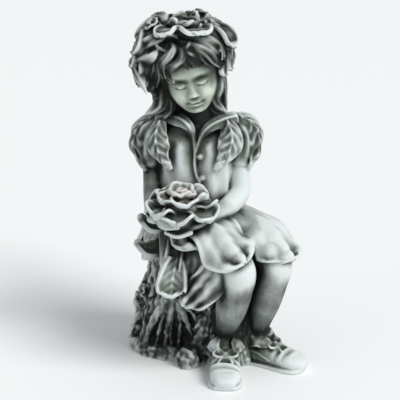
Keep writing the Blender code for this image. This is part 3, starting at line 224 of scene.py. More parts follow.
class StudioSettings(PropertyGroup):
    """The floor, the lights and the camera."""

    elevation: FloatProperty(
        name="Camera elevation",
        description="Angle above the horizon",
        default=math.radians(17),
        subtype="ANGLE",
    )
    distance: FloatProperty(
        name="Camera distance",
        description="From the camera to the statue",
        default=2.178,
        min=0.5,
        unit="LENGTH",
        subtype="DISTANCE",
    )
    lens: FloatProperty(
        name="Lens",
        description="Focal length in millimetres",
        default=108.7,
        min=20,
    )
    key_strength: FloatProperty(
        name="Key light",
        description="Strength of the broad soft light from her left",
        default=2.7,
        min=0,
    )
    fill_power: FloatProperty(
        name="Fill light",
        description="Power of the light opposite",
        default=6.0,
        min=0,
    )
    sky: FloatProperty(
        name="Sky",
        description="Strength of the even light from all round",
        default=0.5,
        min=0,
    )
    floor: FloatVectorProperty(
        name="Floor",
        description="Colour of the floor",
        default=(0.86, 0.87, 0.87),
        subtype="COLOR",
        min=0,
        max=1,
    )


def unit(v):
    """v, or each row of it, at length one."""
    v = np.asarray(v, float)
    return v / np.maximum(np.linalg.norm(v, axis=-1, keepdims=True), 1e-9)


def spline(rows, count):
    """count rows along a smooth curve through the given rows."""
    rows = np.asarray(rows, float)
    ends = np.vstack([2 * rows[0] - rows[1], rows, 2 * rows[-1] - rows[-2]])
    place = np.linspace(0, len(rows) - 1, count)
    first = np.minimum(place.astype(int), len(rows) - 2)
    t = (place - first)[:, None]
    a, b, c, d = (ends[first + k] for k in range(4))
    return 0.5 * (
        2 * b
        + (c - a) * t
        + (2 * a - 5 * b + 4 * c - d) * t**2
        + (3 * b - a - 3 * c + d) * t**3
    )


def step(x, low, high):
    """0 below low, 1 above high, and smooth between."""
    t = np.clip((x - low) / (high - low), 0, 1)
    return t * t * (3 - 2 * t)


def mound(x, z, at, size):
    """A soft bump of height one at a place, with a half width each way."""
    return np.exp(-(((x - at[0]) / size[0]) ** 2) - ((z - at[1]) / size[1]) ** 2)


def grain(points, seed, scale):
    """Smooth random relief of about -1 to 1 at each point."""
    waves = 14
    rng = np.random.RandomState(seed)
    ways = unit(rng.normal(size=(waves, 3))) * rng.uniform(0.6, 1.6, size=(waves, 1))
    starts = rng.uniform(0, 2 * math.pi, size=waves)
    place = np.asarray(points, float) * np.asarray(scale)
    return np.sin(place @ ways.T + starts).sum(axis=-1) / math.sqrt(0.5 * waves) / 2


class Clay:
    """A group of forms, each one a closed skin."""

    def __init__(self):
        self.points = []
        self.faces = []

    def tube(self, rings):
        """A closed skin over rings of equal size."""
        rows, sides, _ = rings.shape
        first = len(self.points)
        self.points.extend(map(tuple, rings.reshape(-1, 3)))
        for row in range(rows - 1):
            here, above = first + row * sides, first + (row + 1) * sides
            for k in range(sides):
                n = (k + 1) % sides
                self.faces.append((here + k, here + n, above + n, above + k))
        self.faces.append(tuple(first + k for k in reversed(range(sides))))
        last = first + (rows - 1) * sides
        self.faces.append(tuple(last + k for k in range(sides)))

    def plate(self, front, back):
        """A closed skin over two grids of equal size, a wall's thickness apart."""
        rows, cols, _ = front.shape
        first = len(self.points)
        behind = first + rows * cols
        self.points.extend(map(tuple, front.reshape(-1, 3)))
        self.points.extend(map(tuple, back.reshape(-1, 3)))
        for i in range(rows - 1):
            for j in range(cols - 1):
                a = i * cols + j
                square = (a, a + 1, a + cols + 1, a + cols)
                self.faces.append(tuple(first + k for k in square))
                self.faces.append(tuple(behind + k for k in reversed(square)))
        rim = list(range(cols))
        rim += [i * cols + cols - 1 for i in range(1, rows)]
        rim += [(rows - 1) * cols + j for j in range(cols - 2, -1, -1)]
        rim += [i * cols for i in range(rows - 2, 0, -1)]
        for a, b in zip(rim, rim[1:] + rim[:1]):
            self.faces.append((first + b, first + a, behind + a, behind + b))

    def limb(self, stations, facing=(0, -1, 0), sides=24, rows=None, carve=None, blunt=0.8, square=2.0):
        """A rounded form along stations of (x, y, z, half width, half depth).

        Its depth runs along facing. carve gives the relief of its skin, blunt is how far its ends are
        rounded out, and square is how full its corners are.
        """
        rows = rows or 9 * len(stations)
        line = spline(stations, rows)
        centre, half = line[:, :3], np.maximum(line[:, 3:5], 0.05)
        along = unit(np.gradient(centre, axis=0))
        # More rings round off each end.
        rounding = np.radians([80, 62, 44, 24])[:, None]
        more_rings = len(rounding)
        cap = blunt * half[[0, -1]].min(axis=1)
        start = centre[0] - along[0] * cap[0] * np.sin(rounding)
        end = (centre[-1] + along[-1] * cap[1] * np.sin(rounding))[::-1]
        centre = np.vstack([start, centre, end])
        half = np.vstack([half[0] * np.cos(rounding), half, half[-1] * np.cos(rounding)[::-1]])
        first, last = (np.tile(way, (more_rings, 1)) for way in (along[0], along[-1]))
        along = np.vstack([first, along, last])
        facing = np.asarray(facing, float)
        deep = unit(facing - along * (along @ facing)[:, None])
        wide = np.cross(along, deep)
        angle = np.linspace(0, 2 * math.pi, sides, endpoint=False)[None, :]
        c = np.sign(np.cos(angle)) * np.abs(np.cos(angle)) ** (2 / square)
        s = np.sign(np.sin(angle)) * np.abs(np.sin(angle)) ** (2 / square)
        more = 0.0
        if carve is not None:
            share = [np.zeros(more_rings), np.linspace(0, 1, rows), np.ones(more_rings)]
            ends = np.cos(rounding)[:, 0]
            taper = np.concatenate([ends, np.ones(rows), ends[::-1]])[:, None]
            more = carve(np.concatenate(share)[:, None], angle) * taper
        across = half[:, :1] * c + more * np.cos(angle)
        depth = half[:, 1:] * s + more * np.sin(angle)
        skin = centre[:, None] + wide[:, None] * across[..., None]
        self.tube(skin + deep[:, None] * depth[..., None])

    def sheet(
        self,
        spine,
        facing,
        width,
        shape=(0.35, 0.62, 2.0),
        cup=0.25,
        ruffle=0.35,
        waves=2.5,
        roll=0.0,
        thick=0.9,
        phase=0.0,
        veins=0.0,
        flutes=0.0,
        lip=0.3,
        rows=40,
        cols=25,
    ):
        """A petal or leaf along a spine.

        shape is its width at the base, where it is widest, and how round its tip is. cup lifts its
        sides towards facing, ruffle waves its rim, roll turns the rim over, veins are ridges, flutes
        are folds that deepen towards the tip, and lip is how much the rim is thickened.
        """
        base, widest, tip = shape
        line = spline(spine, rows)
        s = np.linspace(0, 1, rows)[:, None]
        v = np.linspace(-1, 1, cols)[None, :]
        opening = base + (1 - base) * np.sin(0.5 * math.pi * np.clip(s / widest, 0, 1))
        closing = np.clip(1 - (np.clip(s - widest, 0, 1) / (1 - widest)) ** tip, 0, 1)
        closing = closing ** (0.5 if tip > 1.3 else 1.0)
        half = width * np.maximum(opening * closing, 0.05)
        along = unit(np.gradient(line, axis=0))
        facing = np.atleast_2d(np.asarray(facing, float))
        hint = spline(facing, rows) if len(facing) > 1 else np.tile(facing, (rows, 1))
        normal = unit(hint - along * (along * hint).sum(axis=1, keepdims=True))
        across = np.cross(along, normal)
        edge = np.abs(v)
        rim = np.maximum(edge, step(s, 0.55, 1.0))
        rise = cup * half * v**2
        # The two sides wave out of step, and the tip waves across.
        wave = np.sin(2 * math.pi * waves * s + phase + 1.9 * (v < 0))
        rise = rise + ruffle * edge**2 * step(s, 0.0, 0.6) * wave
        rise = rise + 0.8 * ruffle * s**4 * np.sin(2.6 * math.pi * v + 1.7 * phase)
        folds = np.sin(3.4 * math.pi * v + phase + 1.2 * s) * (1 - 0.3 * edge)
        rise = rise + flutes * step(s, 0.1, 1.0) * folds
        rise = rise + roll * step(rim, 0.62, 1.0)
        # A petal that is cupped is narrower across.
        narrowing = 1 - 0.22 * min(abs(cup), 1.5) * v**2
        spread = across[:, None] * (half * v * narrowing)[..., None]
        surface = line[:, None] + spread + normal[:, None] * rise[..., None]
        out = unit(np.cross(np.gradient(surface, axis=1), np.gradient(surface, axis=0)))
        out *= np.sign((out * normal[:, None]).sum(axis=2, keepdims=True) + 1e-9)
        # Its wall thins outwards, up to the thicker lip at its rim.
        wall = 0.5 * thick * (1 - 0.2 * rim**2 + lip * np.exp(-(((rim - 0.92) / 0.08) ** 2)))
        front = surface + out * wall[..., None]
        if veins:
            slant = np.sin(2 * math.pi * (5.5 * s - 1.5 * edge))
            relief = np.exp(-((v * half / 0.3) ** 2)) + 0.75 * np.clip(slant, -0.4, 1) * (1 - edge)
            front = front + out * (veins * relief * (1 - step(rim, 0.8, 1.0)))[..., None]
        self.plate(front, surface - out * wall[..., None])

    def ball(self, at, radii, axis=(0, 0, 1)):
        """An egg with its middle at a place."""
        a = unit(axis)
        turn = np.radians(np.linspace(-86, 86, 15))
        stations = []
        for t in turn:
            place = np.array(at) + a * radii[2] * math.sin(t)
            stations.append((*place, radii[0] * math.cos(t), radii[1] * math.cos(t)))
        facing = (0, -1, 0) if abs(a[1]) < 0.8 else (0, 0, 1)
        self.limb(stations, facing, rows=30, blunt=0.3)

    def adopt(self, mesh, turn=None, at=(0, 0, 0)):
        """Takes over the closed skins of a mesh, turned and moved into place."""
        first = len(self.points)
        co = np.empty(3 * len(mesh.vertices))
        mesh.vertices.foreach_get("co", co)
        co = co.reshape(-1, 3)
        if turn is not None:
            co = co @ np.asarray(turn).T
        self.points.extend(map(tuple, co + np.asarray(at, float)))
        self.faces.extend(tuple(first + v for v in face.vertices) for face in mesh.polygons)

    def keep(self, name):
        """Makes the forms an object of the scene, for the casting to take in."""
        mesh = bpy.data.meshes.new(name)
        mesh.from_pydata([tuple(p) for p in self.points], [], self.faces)
        obj = bpy.data.objects.new(name, mesh)
        bpy.context.scene.collection.objects.link(obj)
        return obj


class NodeTree:
    """A Geometry Nodes tree with named inputs, under construction."""

    def __init__(self, name, inputs):
        self.tree = bpy.data.node_groups.new(name, "GeometryNodeTree")
        self.tree.is_modifier = True
        sockets = self.tree.interface
        sockets.new_socket(name="Geometry", in_out="INPUT", socket_type="NodeSocketGeometry")
        for label, kind, default in inputs:
            socket = sockets.new_socket(name=label, in_out="INPUT", socket_type="NodeSocket" + kind)
            if default is not None:
                socket.default_value = default
        sockets.new_socket(name="Geometry", in_out="OUTPUT", socket_type="NodeSocketGeometry")
        self.given = self.tree.nodes.new("NodeGroupInput").outputs
        self.result = self.tree.nodes.new("NodeGroupOutput").inputs

    def add(self, kind, *values, named=(), out=0, **settings):
        """Adds a node, feeds its open inputs in order and by name, and gives one of its outputs."""
        node = self.tree.nodes.new(kind)
        for label, value in settings.items():
            setattr(node, label, value)
        sockets = [s for s in node.inputs if not s.is_unavailable]
        feeds = list(zip(sockets, values))
        for label, value in dict(named).items():
            feeds.append((next(s for s in sockets if s.name == label), value))
        for socket, value in feeds:
            if isinstance(value, bpy.types.NodeSocket):
                self.tree.links.new(value, socket)
            elif value is not None:
                socket.default_value = value
        return [s for s in node.outputs if not s.is_unavailable][out]

    def sum(self, operation, *values):
        """A sum of two or three numbers."""
        return self.add("ShaderNodeMath", *values, operation=operation)

    def raised(self, skin, relief):
        """The skin, moved out along its normals by the relief."""
        normal = self.add("GeometryNodeInputNormal")
        out = self.add("ShaderNodeVectorMath", normal, named={"Scale": relief}, operation="SCALE")
        return self.add("GeometryNodeSetPosition", skin, named={"Offset": out})

    def attribute(self, name, kind="FLOAT"):
        """A named attribute of the geometry."""
        return self.add("GeometryNodeInputNamedAttribute", name, data_type=kind)

    def end(self, geometry, material):
        """Realizes what the tree made, gives it its material and hands it out."""
        real = self.add("GeometryNodeRealizeInstances", geometry)
        named = {"Material": material}
        self.tree.links.new(self.add("GeometryNodeSetMaterial", real, named=named), self.result[0])
        return self.tree


def run_nodes(obj, tree, **inputs):
    """Runs a tree on an object, its inputs given by name, and leaves the result as its plain mesh."""
    modifier = obj.modifiers.new(tree.name, "NODES")
    modifier.node_group = tree
    for label, value in inputs.items():
        socket = tree.interface.items_tree[label.replace("_", " ").capitalize()]
        modifier[socket.identifier] = value
    depsgraph = bpy.context.evaluated_depsgraph_get()
    mesh = bpy.data.meshes.new_from_object(obj.evaluated_get(depsgraph), depsgraph=depsgraph)
    obj.modifiers.clear()
    obj.data = mesh
    return mesh


def carved_cord_tree():
    """Sweeps a carved oval along each line: locks of hair, seams, piping, laces and roots."""
    found = bpy.data.node_groups.get("Carved cord")
    if found:
        return found
    t = NodeTree(
        "Carved cord",
        [
            ("Rows", "Int", 40),
            ("Sides", "Int", 26),
            ("Depth share", "Float", 0.7),
            ("Strands", "Float", 2.0),
            ("Strand depth", "Float", 0.16),
            ("Twist", "Float", 5.0),
            ("Material", "Material", None),
        ],
    )
    given = t.given
    line = t.add("GeometryNodeMeshToCurve", given["Geometry"])
    line = t.add("GeometryNodeCurveSplineType", line, spline_type="CATMULL_ROM")
    line = t.add("GeometryNodeResampleCurve", line, named={"Count": given["Rows"]})
    facing = t.attribute("facing", "FLOAT_VECTOR")
    line = t.add("GeometryNodeSetCurveNormal", line, named={"Normal": facing}, mode="FREE")
    along = t.add("GeometryNodeSplineParameter")
    line = t.add("GeometryNodeStoreNamedAttribute", line, named={"Name": "share", "Value": along})
    oval = t.add("GeometryNodeCurvePrimitiveCircle", given["Sides"], 1.0)
    turn = t.sum("MULTIPLY", t.add("GeometryNodeSplineParameter"), 2 * math.pi)
    oval = t.add("GeometryNodeStoreNamedAttribute", oval, named={"Name": "turn", "Value": turn})
    flat = t.add("ShaderNodeCombineXYZ", given["Depth share"], 1.0, 1.0)
    oval = t.add("GeometryNodeTransform", oval, named={"Scale": flat})
    half = t.attribute("half_width")
    skin = t.add("GeometryNodeCurveToMesh", line, oval, named={"Scale": half, "Fill Caps": True})
    share, turn = t.attribute("share"), t.attribute("turn")
    ridges = t.sum("MULTIPLY", turn, t.sum("MULTIPLY", given["Strands"], 2.0))
    ridges = t.sum("COSINE", t.sum("MULTIPLY_ADD", share, given["Twist"], ridges))
    fade = t.sum("SINE", t.sum("MULTIPLY", share, math.pi))
    deep = t.sum("MULTIPLY", given["Strand depth"], half)
    relief = t.sum("MULTIPLY", t.sum("MULTIPLY", ridges, fade), deep)
    return t.end(t.raised(skin, relief), given["Material"])


def petal_tier_tree():
    """Adds a ring of petals to a rose, each one of two shapes, turned, tilted and sized at random."""
    found = bpy.data.node_groups.get("Petal tier")
    if found:
        return found
    t = NodeTree(
        "Petal tier",
        [
            ("Petals", "Int", 5),
            ("Petal", "Object", None),
            ("Other petal", "Object", None),
            ("First turn", "Float", 0.0),
            ("Turn spread", "Float", 0.12),
            ("Tilt", "Float", 0.9),
            ("Tilt spread", "Float", 0.12),
            ("Size spread", "Float", 0.08),
            ("Height", "Float", 0.0),
            ("Seed", "Int", 1),
            ("Material", "Material", None),
        ],
    )
    given = t.given

    def chance(low, high, more):
        """A random number for each petal."""
        seed = t.sum("ADD", given["Seed"], more)
        return t.add("FunctionNodeRandomValue", low, high, named={"Seed": seed}, data_type="FLOAT")

    points = t.add("GeometryNodePoints", given["Petals"])
    kinds = t.add("GeometryNodeJoinGeometry", out=0)
    join = t.tree.nodes[-1]
    for label in ("Petal", "Other petal"):
        shape = t.add("GeometryNodeObjectInfo", given[label], named={"As Instance": True}, out=-1)
        t.tree.links.new(shape, join.inputs[0])
    pitch = t.sum("DIVIDE", 2 * math.pi, given["Petals"])
    turn = t.sum("MULTIPLY_ADD", t.add("GeometryNodeInputIndex"), pitch, given["First turn"])
    turn = t.sum("MULTIPLY_ADD", chance(-1.0, 1.0, 0), given["Turn spread"], turn)
    tilt = t.sum("MULTIPLY_ADD", chance(-1.0, 1.0, 11), given["Tilt spread"], given["Tilt"])
    size = t.sum("MULTIPLY_ADD", chance(-1.0, 1.0, 23), given["Size spread"], 1.0)
    lean = t.add("ShaderNodeCombineXYZ", t.sum("MULTIPLY", tilt, -1.0), 0.0, turn)
    lean = t.add("FunctionNodeEulerToRotation", lean)
    scale = t.add("ShaderNodeCombineXYZ", size, size, size)
    which = t.sum("ROUND", chance(0.0, 1.0, 37))
    named = {"Instance": kinds, "Pick Instance": True, "Instance Index": which}
    named.update({"Rotation": lean, "Scale": scale})
    ring = t.add("GeometryNodeInstanceOnPoints", points, named=named)
    ring = t.add("GeometryNodeRealizeInstances", ring)
    lift = t.add("ShaderNodeCombineXYZ", 0.0, 0.0, given["Height"])
    ring = t.add("GeometryNodeTransform", ring, named={"Translation": lift})
    both = t.add("GeometryNodeJoinGeometry")
    join = t.tree.nodes[-1]
    t.tree.links.new(given["Geometry"], join.inputs[0])
    t.tree.links.new(ring, join.inputs[0])
    return t.end(both, given["Material"])


def rough_bark_tree():
    """Breaks a surface up along its normals into plates with cracks between them, knobs and chips."""
    found = bpy.data.node_groups.get("Rough bark")
    if found:
        return found
    t = NodeTree(
        "Rough bark",
        [
            ("Depth", "Float", 1.4),
            ("Scale", "Float", 0.36),
            ("Stretch", "Float", 0.34),
            ("Warp", "Float", 3.0),
            ("Seed", "Float", 3.0),
            ("Material", "Material", None),
        ],
    )
    given = t.given
    place = t.add("GeometryNodeInputPosition")

    def noise(vector, scale, detail, out=0):
        """Noise at a multiple of the tree's scale."""
        finer = t.sum("MULTIPLY", given["Scale"], scale)
        named = {"W": given["Seed"], "Scale": finer, "Detail": detail}
        return t.add("ShaderNodeTexNoise", vector, named=named, noise_dimensions="4D", out=out)

    def vector(operation, first, second):
        """A sum of two vectors."""
        return t.add("ShaderNodeVectorMath", first, second, operation=operation)

    drift = vector("SUBTRACT", noise(place, 0.7, 2.0, out=1), (0.5, 0.5, 0.5))
    drift = t.add("ShaderNodeVectorMath", drift, named={"Scale": given["Warp"]}, operation="SCALE")
    drawn = t.add("ShaderNodeCombineXYZ", 1.0, 1.0, given["Stretch"])
    drawn = vector("MULTIPLY", vector("ADD", place, drift), drawn)
    plates = t.sum("ABSOLUTE", t.sum("SUBTRACT", noise(drawn, 1.0, 2.0), 0.5))
    plates = t.add("ShaderNodeMapRange", plates, 0.0, 0.09, -1.0, 0.0, interpolation_type="SMOOTHSTEP")
    splits = t.sum("ABSOLUTE", t.sum("SUBTRACT", noise(drawn, 2.6, 1.0), 0.5))
    splits = t.add("ShaderNodeMapRange", splits, 0.0, 0.1, -0.34, 0.0, interpolation_type="SMOOTHSTEP")
    knobs = t.sum("MULTIPLY", t.sum("SUBTRACT", noise(place, 0.7, 1.0), 0.46), 3.0)
    chips = t.sum("MULTIPLY", t.sum("SUBTRACT", noise(drawn, 5.5, 2.0), 0.5), 0.5)
    relief = t.sum("ADD", t.sum("ADD", plates, splits), t.sum("ADD", knobs, chips))
    relief = t.sum("MULTIPLY", relief, given["Depth"])
    return t.end(t.raised(given["Geometry"], relief), given["Material"])


def weathered_skin_tree():
    """Roughens a casting with a sandy grain and small air pits, except where it meets the ground."""
    t = NodeTree(
        "Weathered skin",
        [
            ("Grain depth", "Float", 0.0003),
            ("Grain scale", "Float", 160.0),
            ("Pit depth", "Float", 0.0005),
            ("Pit scale", "Float", 95.0),
            ("Pit share", "Float", 0.22),
            ("Seed", "Float", 4.0),
            ("Material", "Material", None),
        ],
    )
    given = t.given
    place = t.add("GeometryNodeInputPosition")
    sand = t.add(
        "ShaderNodeTexNoise",
        place,
        named={"W": given["Seed"], "Scale": given["Grain scale"], "Detail": 3.0, "Roughness": 0.6},
        noise_dimensions="4D",
    )
    sand = t.sum("MULTIPLY", t.sum("SUBTRACT", sand, 0.5), t.sum("MULTIPLY", given["Grain depth"], 2.0))
    cells = {"W": given["Seed"], "Scale": given["Pit scale"], "Randomness": 1.0}
    pits = t.add("ShaderNodeTexVoronoi", place, named=cells, voronoi_dimensions="4D")
    pits = t.add("ShaderNodeMapRange", pits, 0.0, given["Pit share"], 1.0, 0.0)
    pits = t.sum("MULTIPLY", pits, given["Pit depth"])
    relief = t.sum("SUBTRACT", sand, pits)
    high = t.add("ShaderNodeSeparateXYZ", place, out=2)
    clear = t.add("ShaderNodeMapRange", high, 0.001, 0.006, 0.0, 1.0)
    relief = t.sum("MULTIPLY", relief, clear)
    return t.end(t.raised(given["Geometry"], relief), given["Material"])


class Lines:
    """Lines for a carved cord to follow, each with its half width and the way its flat side faces."""

    def __init__(self):
        self.points = []
        self.edges = []
        self.half = []
        self.facing = []

    def add(self, points, half, facing=(0.13, -0.9, 0.4)):
        """One line; half is one half width or one for each point."""
        first = len(self.points)
        count = len(points)
        self.points.extend(tuple(float(c) for c in p) for p in points)
        self.edges.extend((first + k, first + k + 1) for k in range(count - 1))
        self.half.extend([float(h) for h in np.broadcast_to(half, count)])
        self.facing.extend([tuple(float(c) for c in unit(facing))] * count)

    def sweep(self, clay, **inputs):
        """Sweeps a carved cord along every line and adds it to the clay."""
        mesh = bpy.data.meshes.new("lines")
        mesh.from_pydata(self.points, self.edges, [])
        mesh.attributes.new("half_width", "FLOAT", "POINT").data.foreach_set("value", self.half)
        facing = np.array(self.facing, float).ravel()
        mesh.attributes.new("facing", "FLOAT_VECTOR", "POINT").data.foreach_set("vector", facing)
        obj = bpy.data.objects.new("lines", mesh)
        bpy.context.scene.collection.objects.link(obj)
        clay.adopt(run_nodes(obj, carved_cord_tree(), **inputs))
        bpy.data.objects.remove(obj)


def head_frame():
    """The head's axes: to her left, ahead and up, as columns."""
    sizes = bpy.context.scene.statue_sizes
    lean = Matrix.Rotation(-sizes.head_lean, 3, "Y")
    nod = Matrix.Rotation(sizes.head_nod, 3, "X")
    return np.array(lean @ nod) @ np.diag([1.0, -1.0, 1.0])


def in_head(local):
    """Points given as (to her left, ahead, up) from the head's middle, in the modelling frame."""
    return np.asarray(local, float) @ head_frame().T + np.array(HEAD_AT)


def scalp(turn, rise, reach):
    """A point round the head, turn degrees to her left of the face and rise degrees up."""
    t, r = np.radians(turn), np.radians(rise)
    half_wide, half_deep, half_tall = 8.0, 9.2, 9.4
    aside = half_wide * np.cos(r) * np.sin(t)
    ahead = half_deep * np.cos(r) * np.cos(t)
    place = np.stack([aside, ahead, half_tall * np.sin(r)], axis=-1)
    return in_head(place * np.asarray(reach)[..., None] + np.array([0, -0.3, 1.2]))


def chest(x, z, lift=0.0):
    """A point on the front of the blouse, lifted clear of it."""
    rows = np.array(TORSO)
    middle, back, wide, deep = (np.interp(z, rows[:, 2], rows[:, k]) for k in (0, 1, 3, 4))
    share = min(abs((x - middle) / wide), 0.98)
    bulge = (1 - share**TORSO_SQUARENESS) ** (1 / TORSO_SQUARENESS)
    return np.array([x, back - deep * bulge - lift, z])


def face_relief(x, z):
    """How far the features of a calm child's face stand out from a plain egg."""
    side = np.abs(x)
    # The sockets, the closed lids and the brows.
    relief = -0.95 * mound(side, z, (2.7, -0.1), (2.2, 1.5))
    relief += 1.05 * mound(side, z, (3.0, -0.9), (1.5, 0.95))
    relief += 0.22 * mound(side, z, (3.1, 1.9), (2.3, 0.7))
    # The line of the lashes, and the crease over each lid.
    lash = z + 1.55 - 0.16 * (side - 3.0) ** 2
    relief -= 0.62 * np.exp(-((lash / 0.24) ** 2)) * step(1.75 - np.abs(side - 3.0), 0, 0.5)
    crease = z - 0.25 + 0.2 * (side - 3.0) ** 2
    relief -= 0.3 * np.exp(-((crease / 0.22) ** 2)) * step(1.75 - np.abs(side - 3.0), 0, 0.5)
    # The nose: its bridge, tip, wings and nostrils.
    bridge = step(-z, -0.6, 3.4)
    ridge = (0.1 + 0.72 * bridge) * np.exp(-((x / (0.72 + 0.22 * bridge)) ** 2))
    relief += ridge * step(1.9 - z, 0, 2.8) * step(z + 4.5, 0, 0.9)
    relief += 0.72 * mound(x, z, (0, -3.7), (0.85, 0.72))
    relief += 0.44 * mound(side, z, (0.92, -3.98), (0.5, 0.46))
    relief -= 0.5 * mound(side, z, (0.45, -4.55), (0.3, 0.24))
    # The mouth: the swell round it, the groove over it, the lips, their parting and its corners.
    relief += 0.45 * mound(x, z, (0, -6.2), (2.4, 1.6))
    relief -= 0.16 * mound(x, z, (0, -5.15), (0.3, 0.5))
    relief += 0.44 * mound(side, z, (0.55, -5.82), (0.85, 0.36))
    relief += 0.58 * mound(x, z, (0, -6.85), (1.1, 0.45))
    mouth = z + 6.33 - 0.08 * x**2
    relief -= 0.62 * np.exp(-((mouth / 0.2) ** 2)) * step(1.95 - side, 0, 0.5)
    relief -= 0.4 * mound(side, z, (2.0, -6.05), (0.42, 0.42))
    # The cheeks and the chin.
    relief += 0.85 * mound(side, z, (3.9, -4.1), (2.1, 2.0))
    relief += 0.5 * mound(x, z, (0, -8.8), (1.5, 0.9))
    relief -= 0.36 * mound(x, z, (0, -7.75), (1.6, 0.42))
    return relief


def model_head(clay):
    """The face and skull, from level sections, and the neck."""
    # Each section's height, its reach ahead and behind, and its half width.
    sections = [
        (-10.3, 5.4, 3.7, 0.8),
        (-9.9, 6.5, 2.0, 2.3),
        (-9.1, 7.1, -0.5, 3.6),
        (-7.8, 7.3, -2.5, 4.9),
        (-6.0, 7.6, -4.6, 6.1),
        (-3.5, 7.8, -6.6, 7.0),
        (0.0, 7.9, -8.3, 7.4),
        (3.5, 8.3, -9.0, 7.5),
        (6.5, 7.6, -8.2, 6.7),
        (8.8, 5.7, -6.0, 4.9),
        (10.0, 3.2, -3.2, 2.9),
        (10.4, 0.9, -0.9, 0.8),
    ]
    rows, sides = 190, 190
    z, ahead, behind, half = spline(sections, rows).T[:, :, None]
    angle = np.linspace(0, 2 * math.pi, sides, endpoint=False)[None, :]
    angle = angle - 0.32 * np.sin(2 * angle)
    x = half * np.sign(np.cos(angle)) * np.abs(np.cos(angle)) ** 0.9
    round_y = np.sign(np.sin(angle)) * np.abs(np.sin(angle)) ** 0.9
    y = 0.5 * (ahead + behind) + 0.5 * (ahead - behind) * round_y
    z = z + 0 * x
    y = y + face_relief(x, z) * step(np.sin(angle), 0.15, 0.6)
    clay.tube(in_head(np.stack([x, y, z], axis=2)))
    neck = [(-3.6, -0.3, 66.0, 4.2, 4.0), (-3.4, -1.4, 70.0, 3.5, 3.5), (-4.4, -2.0, 76.0, 3.6, 3.8)]
    clay.limb(neck, sides=48)


def lock(lines, spine, width, facing):
    """One curling lock of hair, full in the middle and thin at its tip."""
    line = spline(spine, 12)
    swell = np.sin(np.linspace(0.45, math.pi, 12)) ** 0.8
    lines.add(line, np.maximum(width * swell, 0.25), facing)


